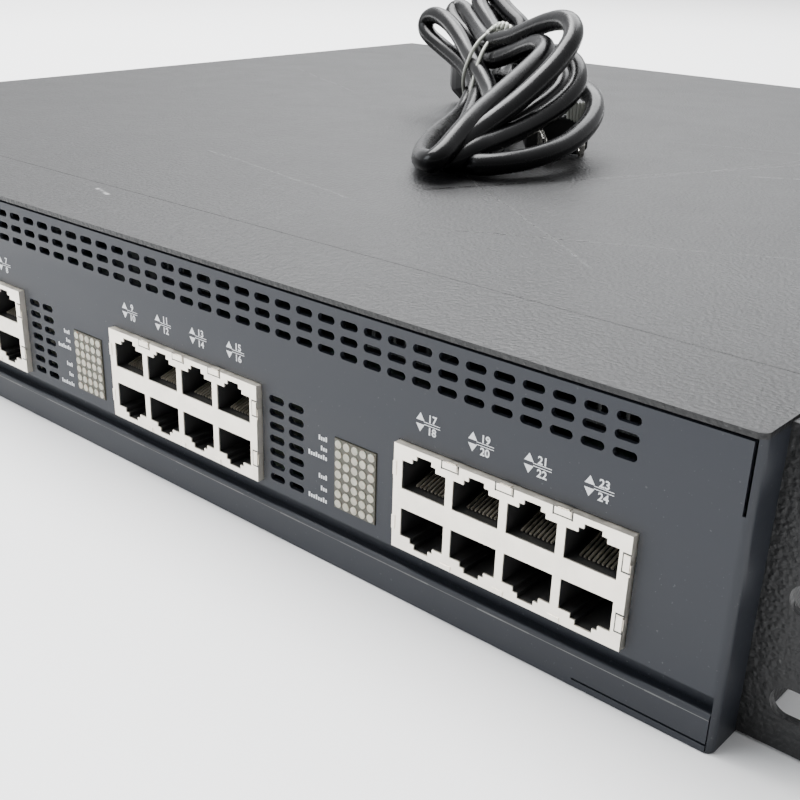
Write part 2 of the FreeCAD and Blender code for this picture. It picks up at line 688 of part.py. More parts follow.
def board_screws():
    """A screw down into every standoff."""
    down = TURN(V(1, 0, 0), 180)
    screws = [
        screw("board_screw_%d" % number, (x, "%s + board_front + %d" % (FRONT, y),
                                         BOARD_TOP + " + head_tall"), down, "board_thick")
        for number, (x, y) in enumerate(BOARD_STUDS)
    ]
    screws += [
        screw("supply_screw_%d" % number, ("supply_left + %d" % x,
                                           "%s + supply_front + %d" % (FRONT, y),
                                           SUPPLY_TOP + " + head_tall"), down, "board_thick")
        for number, (x, y) in enumerate(SUPPLY_STUDS)
    ]
    return node(group("board_screw_group", screws), "board_screws")


def on_board(name, wide, deep, tall, x, y, lift="0"):
    """A block that stands on the main board, given by its middle."""
    return box(name, (wide, deep, tall),
               ("%s - (%s)/2" % (x, wide), "%s + %s - (%s)/2" % (FRONT, y, deep),
                BOARD_TOP + " + " + lift))


def magnetics():
    """Three isolation transformers behind every jack block."""
    blocks = [
        on_board("magnetic_%d_%d" % (group_number, piece), "15", "12.5", "7.2",
                 "block_left + %d*block_pitch + block_wide/2 + %d" % (group_number, 19 * (piece - 1)),
                 "42")
        for group_number in range(3)
        for piece in range(3)
    ]
    return node(group("magnetic_group", blocks), "magnetics")


CHIPS = [(-36, 96, 28), (67, 96, 28), (150, 96, 28), (-120, 96, 24), (16, 170, 31), (110, 180, 20),
         (-60, 180, 20)]
HOT_CHIPS = CHIPS[:3] + CHIPS[4:5]


def chips():
    """Switching and memory chips."""
    packages = [
        on_board("chip_%d" % number, "%d" % side, "%d" % side, "3.2", "%d" % x, "%d" % y)
        for number, (x, y, side) in enumerate(CHIPS)
    ]
    return node(group("chip_group", packages), "chips")


def chip_sinks():
    """A finned heatsink on each hot chip."""
    sinks = []
    for number, (x, y, side) in enumerate(HOT_CHIPS):
        plate = on_board("sink_plate_%d" % number, "%d" % side, "%d" % side, "2.5", "%d" % x,
                         "%d" % y, "3.2")
        fins = [
            on_board("sink_fin_%d_%d" % (number, fin), "1.2", "%d" % side, "10",
                     "%d + %.1f" % (x, (side - 1.2) * (fin / 6.0 - 0.5)), "%d" % y, "5.2")
            for fin in range(7)
        ]
        sinks.append(fuse("sink_%d" % number, [plate] + fins))
    return node(group("sink_group", sinks), "chip_heatsinks")


CANS = [(-170, 60, 5, 12), (-170, 76, 5, 12), (-150, 60, 4, 9), (180, 150, 5, 12), (180, 166, 5, 12),
        (-150, 200, 6.3, 14), (-132, 200, 6.3, 14), (40, 230, 4, 9)]


def board_cans():
    """Capacitors on the main board."""
    cans = [
        rod("can_%d" % number, "%s" % radius, "%d" % tall, ("%d" % x, "%s + %d" % (FRONT, y), BOARD_TOP))
        for number, (x, y, radius, tall) in enumerate(CANS)
    ]
    return node(group("can_group", cans), "board_capacitors")


def supply_board():
    board = box("supply_blank", ("supply_wide", "supply_deep", "board_thick"),
                ("supply_left", FRONT + " + supply_front", "supply_low"))
    holes = [
        rod("supply_hole_%d" % number, "screw_hole", "board_thick*3",
            ("supply_left + %d" % x, "%s + supply_front + %d" % (FRONT, y),
             "supply_low - board_thick"))
        for number, (x, y) in enumerate(SUPPLY_STUDS)
    ]
    return node(cut("supply_drilled", board, holes), "supply_board")


def on_supply(name, wide, deep, tall, x, y):
    """A block that stands on the supply board, measured from that board's corner."""
    return box(name, (wide, deep, tall),
               ("supply_left + %s" % x, "%s + supply_front + %s" % (FRONT, y), SUPPLY_TOP))


def supply_wound():
    """Transformer and line filter: a core with a thicker winding through it."""
    wound = []
    for name, wide, deep, tall, x, y in (("transformer", 34, 30, 30, 60, 40),
                                         ("filter", 20, 22, 24, 24, 74)):
        core = on_supply(name + "_core", "%d" % wide, "%d" % deep, "%d" % tall, "%d" % x, "%d" % y)
        coil = on_supply(name + "_coil", "%d" % (wide - 8), "%d" % (deep + 8), "%d" % (tall - 6),
                         "%d" % (x + 4), "%d" % (y - 4))
        wound.append(fuse(name, [core, coil]))
    return node(group("wound_group", wound), "supply_transformers")


def supply_cans():
    """The large capacitors of the power supply."""
    cans = [
        rod("supply_can_%d" % number, "%s" % radius, "%d" % tall,
            ("supply_left + %d" % x, "%s + supply_front + %d" % (FRONT, y), SUPPLY_TOP))
        for number, (x, y, radius, tall) in enumerate(((28, 44, 12, 32), (116, 90, 6.5, 22),
                                                       (132, 84, 6.5, 22), (116, 74, 5, 18)))
    ]
    return node(group("supply_can_group", cans), "supply_capacitors")


def supply_sinks():
    """Two aluminium plates with fins that cool the power transistors."""
    sinks = []
    for number, (x, y) in enumerate(((20, 14), (96, 26))):
        plate = on_supply("cool_plate_%d" % number, "34", "3", "34", "%d" % x, "%d" % y)
        fins = [
            on_supply("cool_fin_%d_%d" % (number, fin), "1.4", "9", "34", "%.1f" % (x + fin * 6.52),
                      "%.1f" % (y + 2.5))
            for fin in range(6)
        ]
        sinks.append(fuse("cool_%d" % number, [plate] + fins))
    return node(group("cool_group", sinks), "supply_heatsinks")


def tube(points, radius, bend):
    """A round tube along straight runs joined by arcs that touch them."""
    edges = []
    last = points[0]
    for before, corner, after in zip(points, points[1:], points[2:]):
        back = (before - corner).normalize()
        on = (after - corner).normalize()
        half = back.getAngle(on) / 2.0
        reach = bend / math.tan(half)
        start = corner + back * reach
        end = corner + on * reach
        middle = corner + (back + on).normalize() * (bend / math.sin(half) - bend)
        edges.append(Part.LineSegment(last, start).toShape())
        edges.append(Part.Arc(start, middle, end).toShape())
        last = end
    edges.append(Part.LineSegment(last, points[-1]).toShape())
    path = Part.Wire(edges)
    ring = Part.Wire(Part.Circle(points[0], points[1] - points[0], radius).toShape())
    return path.makePipeShell([ring], True, True)


def harness():
    """Wires from the supply to the main board, with a plug at each end."""
    shapes = []
    x_out = size("supply_left") + 142.0
    y_out = -size("case_deep") / 2 + size("supply_front") + 40.0
    z_out = size("supply_low") + size("board_thick")
    x_in, y_in = -40.0, -size("case_deep") / 2 + 225.0
    z_in = size("board_low") + size("board_thick")
    plug_tall = 7.0
    shapes.append(Part.makeBox(7, 24, plug_tall, V(x_out - 3.5, y_out - 12, z_out)))
    shapes.append(Part.makeBox(24, 7, plug_tall, V(x_in - 12, y_in - 3.5, z_in)))
    for wire in range(6):
        shift = (wire - 2.5) * 3.6
        arch = 34.0 + 0.4 * wire
        points = [V(x_out, y_out + shift, z_out + plug_tall), V(x_out, y_out + shift, arch),
                  V(x_in + shift, y_out + shift, arch), V(x_in + shift, y_in, arch),
                  V(x_in + shift, y_in, z_in + plug_tall)]
        shapes.append(tube(points, 0.9, 4.0))
    wires = doc.addObject("Part::Feature", "harness_wires")
    wires.Shape = Part.makeCompound(shapes)
    return node(wires, "wire_harness")


# ---------------------------------------------------------------- rear fittings
def fan_at(thing, number):
    return place(thing, ("fan_first + %d*fan_pitch" % number, REAR + " - sheet - fan_deep",
                         "fan_centre"))


def fan_frame(number):
    """A square fan frame: bored through, with a bearing pin on four struts at its back."""
    tag = "fan_%d" % number
    block = box(tag + "_block", ("fan_size", "fan_deep", "fan_size"),
                ("-fan_size/2", "0", "-fan_size/2"))
    bore = rod(tag + "_bore", "fan_bore", "fan_deep + 2", ("0", "-1", "0"), ALONG_Y)
    bolts = [
        rod("%s_bolt_%d%d" % (tag, side + 1, level + 1), "screw_hole", "fan_deep + 2",
            ("%d*fan_holes/2" % side, "-1", "%d*fan_holes/2" % level), ALONG_Y)
        for side in (-1, 1)
        for level in (-1, 1)
    ]
    bored = cut(tag + "_bored", block, [bore] + bolts)
    cup = rod(tag + "_cup", "hub_radius", "3", ("0", "fan_deep - 3", "0"), ALONG_Y)
    pin = rod(tag + "_pin", "pin_radius", "fan_deep - 4", ("0", "3", "0"), ALONG_Y)
    struts = [
        box("%s_strut_level" % tag, ("2*fan_bore + 1", "2.4", "2.4"),
            ("-fan_bore - 0.5", "fan_deep - 2.7", "-1.2")),
        box("%s_strut_upright" % tag, ("2.4", "2.4", "2*fan_bore + 1"),
            ("-1.2", "fan_deep - 2.7", "-fan_bore - 0.5")),
    ]
    return node(fan_at(fuse(tag + "_whole", [bored, cup, pin] + struts), number),
                "fan_frame_%d" % (number + 1))


def fan_rotor(number):
    """A hub with seven pitched blades, free to spin on the frame's pin."""
    tag = "rotor_%d" % number
    hub = rod(tag + "_hub", "hub_radius", "fan_deep - 5", ("0", "1", "0"), ALONG_Y)
    blades = []
    for blade in range(7):
        vane = doc.addObject("Part::Box", "%s_vane_%d" % (tag, blade))
        bind(vane, "Length", "blade_reach - hub_radius + 1.5")
        bind(vane, "Width", "1.2")
        bind(vane, "Height", "10")
        angle = 360.0 / 7 * blade
        round_turn = TURN(V(0, 1, 0), angle)
        pitched = round_turn.multiply(TURN(V(1, 0, 0), -48))
        heart = round_turn.multVec(V(size("hub_radius") - 1.2, 0, 0))
        back = pitched.multVec(V(0, 0.6, 5.0))
        vane.Placement = FreeCAD.Placement(V(heart.x - back.x, 8.5 - back.y, heart.z - back.z), pitched)
        blades.append(vane)
    bearing = rod(tag + "_bearing", "pin_radius + bearing_gap", "fan_deep", ("0", "2", "0"), ALONG_Y)
    rim = rod(tag + "_rim", "blade_reach", "fan_deep - 5", ("0", "1", "0"), ALONG_Y)
    solid = fuse(tag + "_solid", [hub] + blades)
    trimmed = doc.addObject("Part::Common", tag + "_trimmed")
    trimmed.Base = solid
    trimmed.Tool = rim
    return node(fan_at(cut(tag + "_whole", trimmed, [bearing]), number), "fan_rotor_%d" % (number + 1))


def fan_guard(number):
    """The wire guard outside the rear panel: three rings on a cross of wires."""
    tag = "guard_%d" % number
    middle = ("fan_first + %d*fan_pitch" % number, REAR + " + guard_wire", "fan_centre")
    rings = []
    for ring, radius in enumerate(("6", "11.5", "17")):
        hoop = doc.addObject("Part::Torus", "%s_ring_%d" % (tag, ring))
        bind(hoop, "Radius1", radius)
        bind(hoop, "Radius2", "guard_wire")
        rings.append(place(hoop, middle, TURN(V(1, 0, 0), 90)))
    long = "fan_holes*1.4142"
    for arm, angle in enumerate((45, 135)):
        bar = doc.addObject("Part::Cylinder", "%s_arm_%d" % (tag, arm))
        bind(bar, "Radius", "guard_wire*0.9")
        bind(bar, "Height", long)
        half = size("fan_holes") * 1.4142 / 2
        slope = TURN(V(0, 1, 0), angle)
        start = slope.multVec(V(0, 0, -half))
        rings.append(place(bar, (middle[0] + " + %.4f" % start.x, middle[1],
                                 middle[2] + " + %.4f" % start.z), slope))
    eyes = [
        rod("%s_eye_%d%d" % (tag, side + 1, level + 1), "head_radius", "guard_wire*1.9",
            ("%s + %d*fan_holes/2" % (middle[0], side), REAR,
             "%s + %d*fan_holes/2" % (middle[2], level)), ALONG_Y)
        for side in (-1, 1)
        for level in (-1, 1)
    ]
    bores = [
        rod("%s_bore_%d%d" % (tag, side + 1, level + 1), "screw_hole", "guard_wire*8",
            ("%s + %d*fan_holes/2" % (middle[0], side), REAR + " - 1",
             "%s + %d*fan_holes/2" % (middle[2], level)), ALONG_Y)
        for side in (-1, 1)
        for level in (-1, 1)
    ]
    return node(cut(tag + "_whole", fuse(tag + "_wires", rings + eyes), bores),
                "fan_guard_%d" % (number + 1))


def fan_screws():
    """Four screws through each guard and the panel into the fan frame."""
    inward = TURN(V(1, 0, 0), 90)
    screws = [
        screw("fan_screw_%d_%d%d" % (number, side + 1, level + 1),
              ("fan_first + %d*fan_pitch + %d*fan_holes/2" % (number, side),
               REAR + " + guard_wire*1.9 + head_tall",
               "fan_centre + %d*fan_holes/2" % level), inward, "8")
        for number in range(2)
        for side in (-1, 1)
        for level in (-1, 1)
    ]
    return node(group("fan_screw_group", screws), "fan_screws")


def power_inlet():
    """The three-pin appliance inlet: flange, body and socket with two cut corners."""
    back = REAR
    flange = box("inlet_rim", ("inlet_flange", "inlet_lip", "inlet_flange_tall"),
                 ("inlet_place - inlet_flange/2", back, "inlet_centre - inlet_flange_tall/2"))
    body = box("inlet_body", ("inlet_wide", "socket_deep + 3 + sheet", "inlet_tall"),
               ("inlet_place - inlet_wide/2", back + " - socket_deep - 3 - sheet",
                "inlet_centre - inlet_tall/2"))
    socket = box("inlet_socket", ("socket_wide", "socket_deep + 4", "socket_tall"),
                 ("inlet_place - socket_wide/2", back + " + inlet_lip - socket_deep",
                  "inlet_centre - socket_tall/2"))
    bolts = [
        rod("inlet_bolt_%d" % (side + 1), "screw_hole", "8",
            ("inlet_place + %d*20" % side, back + " - 2", "inlet_centre"), ALONG_Y)
        for side in (-1, 1)
    ]
    corners = []
    for side in (-1, 1):
        wedge = doc.addObject("Part::Wedge", "inlet_corner_%d" % (side + 1))
        wedge.Xmin, wedge.Xmax, wedge.X2min, wedge.X2max = 0, 5, 0, 0
        wedge.Ymin, wedge.Ymax = 0, 5
        wedge.Zmin, wedge.Zmax, wedge.Z2min, wedge.Z2max = 0, size("socket_deep"), 0, size("socket_deep")
        turn = TURN(V(1, 0, 0), 90) if side < 0 else TURN(V(0, 0, 1), 180).multiply(TURN(V(1, 0, 0), 90))
        y = back + " + inlet_lip" if side < 0 else back + " + inlet_lip - socket_deep"
        corners.append(place(wedge, ("inlet_place + %d*socket_wide/2" % side, y,
                                     "inlet_centre - socket_tall/2"), turn))
    hollow = cut("inlet_hollow", fuse("inlet_joined", [flange, body]), [socket] + bolts)
    return node(fuse("inlet_whole", [hollow] + corners), "power_inlet")


def inlet_pins():
    """Three flat pins: earth in the middle and higher, line and neutral lower."""
    pins = [
        box("inlet_pin_%d" % number, ("2", "socket_deep + 5", "4"),
            ("inlet_place + %d*7 - 1" % side, REAR + " - socket_deep - 6",
             "inlet_centre + %d - 2" % rise))
        for number, (side, rise) in enumerate(((-1, -2), (0, 2), (1, -2)))
    ]
    return node(group("inlet_pin_group", pins), "inlet_pins")


def inlet_screws():
    inward = TURN(V(1, 0, 0), 90)
    screws = [
        screw("inlet_screw_%d" % (side + 1),
              ("inlet_place + %d*20" % side, REAR + " + inlet_lip + head_tall", "inlet_centre"),
              inward, "inlet_lip")
        for side in (-1, 1)
    ]
    return node(group("inlet_screw_group", screws), "inlet_screws")


def serial_port():
    """The nine-pin service connector: plate, shell, insulator and two hex posts."""
    back = REAR
    plate = box("serial_plate", ("31", "1", "12.6"), ("serial_place - 15.5", back,
                                                     "serial_centre - 6.3"))
    shell = box("serial_shell", ("17", "5.6", "8.4"), ("serial_place - 8.5", back + " + 0.5",
                                                      "serial_centre - 4.2"))
    cavity = box("serial_cavity", ("16", "6", "7.4"), ("serial_place - 8", back + " + 1.2",
                                                      "serial_centre - 3.7"))
    rear = box("serial_rear", ("16.6", "9", "8"), ("serial_place - 8.3", back + " - 8.5",
                                                  "serial_centre - 4"))
    posts = []
    for side in (-1, 1):
        post = doc.addObject("Part::Prism", "serial_post_%d" % (side + 1))
        post.Polygon = 6
        bind(post, "Circumradius", "2.7")
        bind(post, "Height", "5")
        posts.append(place(post, ("serial_place + %d*12.5" % side, back + " + 0.5", "serial_centre"),
                           ALONG_Y))
    shaped = cut("serial_hollow", fuse("serial_joined", [plate, shell, rear]), [cavity])
    return node(fuse("serial_whole", [shaped] + posts), "serial_port")


def serial_pins():
    """Five pins above four."""
    pins = []
    for count, rise in ((5, "1.4"), (4, "-1.4")):
        for pin in range(count):
            pins.append(rod("serial_pin_%d_%d" % (count, pin), "0.5", "4",
                            ("serial_place + %.2f*2.77" % (pin - (count - 1) / 2.0),
                             REAR + " + 1.2", "serial_centre + " + rise), ALONG_Y))
    return node(group("serial_pin_group", pins), "serial_pins")


# ---------------------------------------------------------------- power lead on the cover
# The hank lies askew on the cover: its long axis runs back and to the left.
HANK_TURN = TURN(V(0, 0, 1), 41.4)
HANK_HEART = V(12.0, -4.0, 0.0)
# along, across and height of each cross-section's middle, then its half width and height
HANK_SECTIONS = [(-106, -16, 5.6, 15, 5), (-88, -8, 11, 26, 10.4), (-58, 2, 20.5, 34, 20),
                 (-30, 5, 24, 32, 23.4), (-4, 3, 24, 27, 23.4), (14, -6, 20, 18, 17),
                 (40, -12, 26, 23, 25), (64, -14, 28, 20, 21)]
WAIST = 5


def hank_point(along, across, height):
    """A place on the cover given along and across the hank and above the cover."""
    lifted = size("case_tall") + size("cover_gap") + height
    flat = HANK_TURN.multVec(V(across, along, 0))
    return V(HANK_HEART.x + flat.x, HANK_HEART.y + flat.y, lifted)


def oval(along, across, height, half_wide, half_tall):
    """An upright oval across the hank's long axis."""
    centre = hank_point(along, across, height)
    sideways = HANK_TURN.multVec(V(1, 0, 0))
    if half_wide >= half_tall:
        curve = Part.Ellipse(centre + sideways * half_wide, centre + V(0, 0, half_tall), centre)
    else:
        curve = Part.Ellipse(centre + V(0, 0, half_tall), centre + sideways * half_wide, centre)
    return Part.Wire(curve.toShape())


def lead_hank():
    """The outer shape of the tied loops: full at both ends and drawn in at the tie."""
    rings = [oval(*section) for section in HANK_SECTIONS]
    hank = doc.addObject("Part::Feature", "hank_shape")
    hank.Shape = Part.makeLoft(rings, True, True)
    return node(hank, "lead_hank")


def lead_tie():
    """A wire tie round the drawn-in middle of the hank."""
    along, across, height, half_wide, half_tall = HANK_SECTIONS[WAIST]
    wrap = 1.2
    outer = Part.Face(oval(along - 1.5, across, height, half_wide + 2 + wrap, half_tall + wrap + 1))
    inner = Part.Face(oval(along - 1.5, across, height, half_wide + 1, half_tall + 0.4))
    run = HANK_TURN.multVec(V(0, 3, 0))
    tie = doc.addObject("Part::Feature", "tie_shape")
    tie.Shape = outer.extrude(run).cut(inner.extrude(run))
    return node(tie, "lead_tie")


def lead_piece(label, blocks):
    """A moulded end of the lead: blocks given by their middles on the cover and their sizes."""
    shapes = []
    for along, across, height, wide, long, tall, round_edge in blocks:
        block = Part.makeBox(wide, long, tall, V(-wide / 2.0, -long / 2.0, -tall / 2.0))
        block = block.makeFillet(round_edge, block.Edges)
        block.Placement = FreeCAD.Placement(hank_point(along, across, height), HANK_TURN)
        shapes.append(block)
    piece = doc.addObject("Part::Feature", label + "_shape")
    piece.Shape = shapes[0].multiFuse(shapes[1:]).removeSplitter()
    return node(piece, label)


def lead_ends():
    """The appliance connector in the back of the hank, and the mains plug under its front."""
    lead_piece("lead_connector", [(56, -8, 12.2, 20, 26, 24, 1.5), (39, -8, 12.2, 11, 12, 11, 1.5)])
    lead_piece("lead_plug", [(-45, 14.5, 6.8, 22, 24, 13, 2), (-27, 14.5, 6.8, 9, 14, 9, 2)])
    blades = []
    for aside in (-6.35, 6.35):
        blade = Part.makeBox(1.5, 16.5, 6.3, V(-0.75, -8.25, -3.15))
        blade.Placement = FreeCAD.Placement(hank_point(-65.05, 14.5 + aside, 6.8), HANK_TURN)
        blades.append(blade)
    prongs = doc.addObject("Part::Feature", "blade_shape")
    prongs.Shape = Part.makeCompound(blades)
    node(prongs, "plug_blades")


front_shell()
top_strip()
lower_rail()
tray()
cover()
rear_panel()
for ear_side in (-1, 1):
    rack_ear(ear_side)
ear_screws()
cover_screws()
for block in range(3):
    jack_shield(block)
    jack_insert(block)
    jack_contacts(block)
    matrix_frame(block)
    matrix_dots(block)
bay_cover()
bay_screws()
main_board()
studs()
board_screws()
magnetics()
chips()
chip_sinks()
board_cans()
supply_board()
supply_wound()
supply_cans()
supply_sinks()
harness()
for fan in range(2):
    fan_frame(fan)
    fan_rotor(fan)
    fan_guard(fan)
fan_screws()
power_inlet()
inlet_pins()
inlet_screws()
serial_port()
serial_pins()
lead_hank()
lead_tie()
lead_ends()

doc.recompute()
faults = [thing.Name for thing in doc.Objects if {"Invalid", "Error"} & set(thing.State)]
faults += [thing.Label for thing in nodes if thing.Shape.isNull() or not thing.Shape.isValid()]
if faults:
    raise RuntimeError("not sound: " + ", ".join(faults))

os.makedirs("parts", exist_ok=True)
for thing in nodes:
    thing.Shape.exportStep("parts/%s.step" % thing.Label)
    reach = thing.Shape.optimalBoundingBox()
    print("%-22s %3d solids  x %8.1f %8.1f  y %8.1f %8.1f  z %6.1f %6.1f"
          % (thing.Label, len(thing.Shape.Solids), reach.XMin, reach.XMax, reach.YMin, reach.YMax,
             reach.ZMin, reach.ZMax))
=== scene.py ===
import json
import math
import bmesh
import bpy
from mathutils import Matrix, Vector


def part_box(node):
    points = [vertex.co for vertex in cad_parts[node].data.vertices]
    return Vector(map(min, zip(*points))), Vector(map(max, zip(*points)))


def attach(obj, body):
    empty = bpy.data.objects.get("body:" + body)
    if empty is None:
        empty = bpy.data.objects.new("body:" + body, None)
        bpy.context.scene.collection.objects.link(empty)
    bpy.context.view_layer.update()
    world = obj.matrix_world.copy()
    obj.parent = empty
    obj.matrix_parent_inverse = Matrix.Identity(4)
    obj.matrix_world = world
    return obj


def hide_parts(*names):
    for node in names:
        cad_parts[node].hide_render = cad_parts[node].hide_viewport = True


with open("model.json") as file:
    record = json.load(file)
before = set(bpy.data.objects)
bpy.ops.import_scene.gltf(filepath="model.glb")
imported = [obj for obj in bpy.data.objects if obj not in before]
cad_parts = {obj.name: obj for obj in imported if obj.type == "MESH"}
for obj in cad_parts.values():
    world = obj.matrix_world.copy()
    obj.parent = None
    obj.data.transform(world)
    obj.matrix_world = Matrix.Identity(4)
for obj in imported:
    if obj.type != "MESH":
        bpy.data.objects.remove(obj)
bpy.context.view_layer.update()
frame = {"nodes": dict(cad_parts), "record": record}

# A rack-mounted network switch.  Metres; the CAD frame: +X right, +Y back, +Z up.
MM = 0.001
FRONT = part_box("front_shell")[0][1]
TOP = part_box("top_cover")[1][2]


# ------------------------------------------------------------------ camera
def make_camera():
    """A lens of about 51 mm on a 36 mm frame, looking down and to the left."""
    azimuth, tilt, roll = 0.7258, 0.4276, 0.0248
    forward = Vector((-math.sin(azimuth) * math.cos(tilt), math.cos(azimuth) * math.cos(tilt),
                      -math.sin(tilt)))
    level = Vector((math.cos(azimuth), math.sin(azimuth), 0.0))
    above = level.cross(forward)
    right = math.cos(roll) * level + math.sin(roll) * above
    up = right.cross(forward)
    data = bpy.data.cameras.new("camera")
    data.sensor_width = 36.0
    data.lens = 51.5
    data.shift_x = 0.0226
    data.shift_y = 0.0416
    data.clip_start = 0.01
    camera = bpy.data.objects.new("camera", data)
    camera.matrix_world = Matrix((
        (right.x, up.x, -forward.x, 0.2865),
        (right.y, up.y, -forward.y, -0.3803),
        (right.z, up.z, -forward.z, 0.1433),
        (0.0, 0.0, 0.0, 1.0)))
    bpy.context.scene.collection.objects.link(camera)
    bpy.context.scene.camera = camera


# ------------------------------------------------------------------ node helpers
class Nodes:
    """A material's node tree, with short calls for the nodes used here."""

    def __init__(self, name):
        self.material = bpy.data.materials.new(name)
        self.material.use_nodes = True
        self.tree = self.material.node_tree
        self.tree.nodes.clear()
        self.shader = self.tree.nodes.new("ShaderNodeBsdfPrincipled")
        output = self.tree.nodes.new("ShaderNodeOutputMaterial")
        self.tree.links.new(self.shader.outputs[0], output.inputs["Surface"])
        place = self.tree.nodes.new("ShaderNodeTexCoord")
        self.place = place.outputs["Object"]

    def link(self, source, target):
        self.tree.links.new(source, target)

    def feed(self, value, target):
        """Set a socket to a number or colour, or link it to another socket."""
        if isinstance(value, bpy.types.NodeSocket):
            self.link(value, target)
        else:
            target.default_value = value

    def math(self, operation, first, second=0.0):
        node = self.tree.nodes.new("ShaderNodeMath")
        node.operation = operation
        self.feed(first, node.inputs[0])
        self.feed(second, node.inputs[1])
        return node.outputs[0]

    def axis(self, index):
        split = self.tree.nodes.new("ShaderNodeSeparateXYZ")
        self.link(self.place, split.inputs[0])
        return split.outputs[index]

    def stretched(self, scale):
        mapping = self.tree.nodes.new("ShaderNodeMapping")
        mapping.inputs["Scale"].default_value = scale
        self.link(self.place, mapping.inputs["Vector"])
        return mapping.outputs[0]

    def noise(self, scale, detail=3.0, rough=0.55, vector=None):
        node = self.tree.nodes.new("ShaderNodeTexNoise")
        node.inputs["Scale"].default_value = scale
        node.inputs["Detail"].default_value = detail
        node.inputs["Roughness"].default_value = rough
        self.link(vector or self.place, node.inputs["Vector"])
        return node.outputs["Fac"]

    def cells(self, scale, feature="F1", vector=None):
        node = self.tree.nodes.new("ShaderNodeTexVoronoi")
        node.feature = feature
        node.inputs["Scale"].default_value = scale
        self.link(vector or self.place, node.inputs["Vector"])
        return node.outputs["Distance"]

    def ramp(self, value, low, high, start=0.0, end=1.0):
        """A straight map of a value's range, held at both ends."""
        node = self.tree.nodes.new("ShaderNodeMapRange")
        self.feed(value, node.inputs["Value"])
        node.inputs["From Min"].default_value = low
        node.inputs["From Max"].default_value = high
        node.inputs["To Min"].default_value = start
        node.inputs["To Max"].default_value = end
        return node.outputs[0]

    def mix(self, factor, first, second):
        node = self.tree.nodes.new("ShaderNodeMix")
        node.data_type = "RGBA"
        self.feed(factor, node.inputs[0])
        self.feed(first, node.inputs[6])
        self.feed(second, node.inputs[7])
        return node.outputs[2]

    def bump(self, height, strength, distance):
        node = self.tree.nodes.new("ShaderNodeBump")
        node.inputs["Strength"].default_value = strength
        node.inputs["Distance"].default_value = distance
        self.link(height, node.inputs["Height"])
        return node.outputs[0]

    def finish(self, colour, rough, normal=None, metal=0.0, **fixed):
        self.feed(colour, self.shader.inputs["Base Color"])
        self.feed(rough, self.shader.inputs["Roughness"])
        self.shader.inputs["Metallic"].default_value = metal
        for socket, value in fixed.items():
            self.shader.inputs[socket.replace("_", " ")].default_value = value
        if normal:
            self.link(normal, self.shader.inputs["Normal"])
        return self.material


def grey(level, blue=1.0, green=1.0):
    return (level, level * green, level * blue, 1.0)


def scratch(nodes, start, end, width):
    """How much a point lies on one thin line of the top, from 0 to 1; the line is in mm."""
    start, end = [[value * MM for value in place] for place in (start, end)]
    width = width * MM
    x, y = nodes.axis(0), nodes.axis(1)
    run = Vector((end[0] - start[0], end[1] - start[1]))
    long = run.length
    run.normalize()
    east = nodes.math("SUBTRACT", x, start[0])
    north = nodes.math("SUBTRACT", y, start[1])
    along = nodes.math("ADD", nodes.math("MULTIPLY", east, run.x),
                       nodes.math("MULTIPLY", north, run.y))
    aside = nodes.math("SUBTRACT", nodes.math("MULTIPLY", east, run.y),
                       nodes.math("MULTIPLY", north, run.x))
    wave = nodes.math("MULTIPLY", nodes.math("SUBTRACT", nodes.noise(35.0, 1.0), 0.5), 0.004)
    aside = nodes.math("ABSOLUTE", nodes.math("ADD", aside, wave))
    near = nodes.ramp(aside, width * 0.3, width, 1.0, 0.0)
    middle = nodes.math("ABSOLUTE", nodes.math("SUBTRACT", along, long / 2.0))
    inside = nodes.ramp(middle, long * 0.42, long * 0.5, 1.0, 0.0)
    broken = nodes.ramp(nodes.noise(240.0, 2.0), 0.35, 0.55)
    return nodes.math("MULTIPLY", nodes.math("MULTIPLY", near, inside), broken)


# ------------------------------------------------------------------ materials
def pebbled_paint(name, level, rough, grain, scratches=()):
    """Textured powder coat: fine pebbles, faint clouding, specks of dust and thin scratches."""
    n = Nodes(name)
    clouds = n.noise(14.0, 4.0)
    colour = n.mix(n.ramp(clouds, 0.3, 0.7), grey(level * 0.86, 1.07, 1.02),
                   grey(level * 1.16, 1.07, 1.02))
    pebbles = n.cells(grain, "SMOOTH_F1")
    fine = n.noise(grain * 2.6, 2.0)
    height = n.math("ADD", n.math("MULTIPLY", pebbles, -1.0), n.math("MULTIPLY", fine, 0.4))
    dust = n.ramp(n.noise(900.0, 2.0), 0.66, 0.74)
    colour = n.mix(n.math("MULTIPLY", dust, 0.12), colour, grey(0.32))
    shine = n.ramp(n.noise(22.0, 5.0, 0.65), 0.25, 0.8, rough - 0.05, rough + 0.07)
    for start, end, width, bright in scratches:
        mark = scratch(n, start, end, width)
        colour = n.mix(n.math("MULTIPLY", mark, 0.8), colour, grey(bright))
        shine = n.math("ADD", shine, n.math("MULTIPLY", mark, 0.16 if bright > 0.1 else -0.2))
    return n.finish(colour, shine, n.bump(height, 0.8, 0.0003), Specular_IOR_Level=0.34)


def smooth_paint(name, level, rough):
    """Satin paint on the flat front: a very fine orange peel and faint wiping marks."""
    n = Nodes(name)
    wiped = n.noise(30.0, 4.0, 0.6, n.stretched((0.25, 1.0, 2.0)))
    colour = n.mix(n.ramp(wiped, 0.3, 0.7), grey(level * 0.93, 1.5, 1.15),
                   grey(level * 1.07, 1.5, 1.15))
    dust = n.ramp(n.noise(1100.0, 2.0), 0.68, 0.75)
    colour = n.mix(n.math("MULTIPLY", dust, 0.1), colour, grey(0.4))
    shine = n.ramp(wiped, 0.25, 0.75, rough - 0.05, rough + 0.06)
    peel = n.noise(1400.0, 2.0)
    return n.finish(colour, shine, n.bump(peel, 0.12, 0.0001), Specular_IOR_Level=0.3)


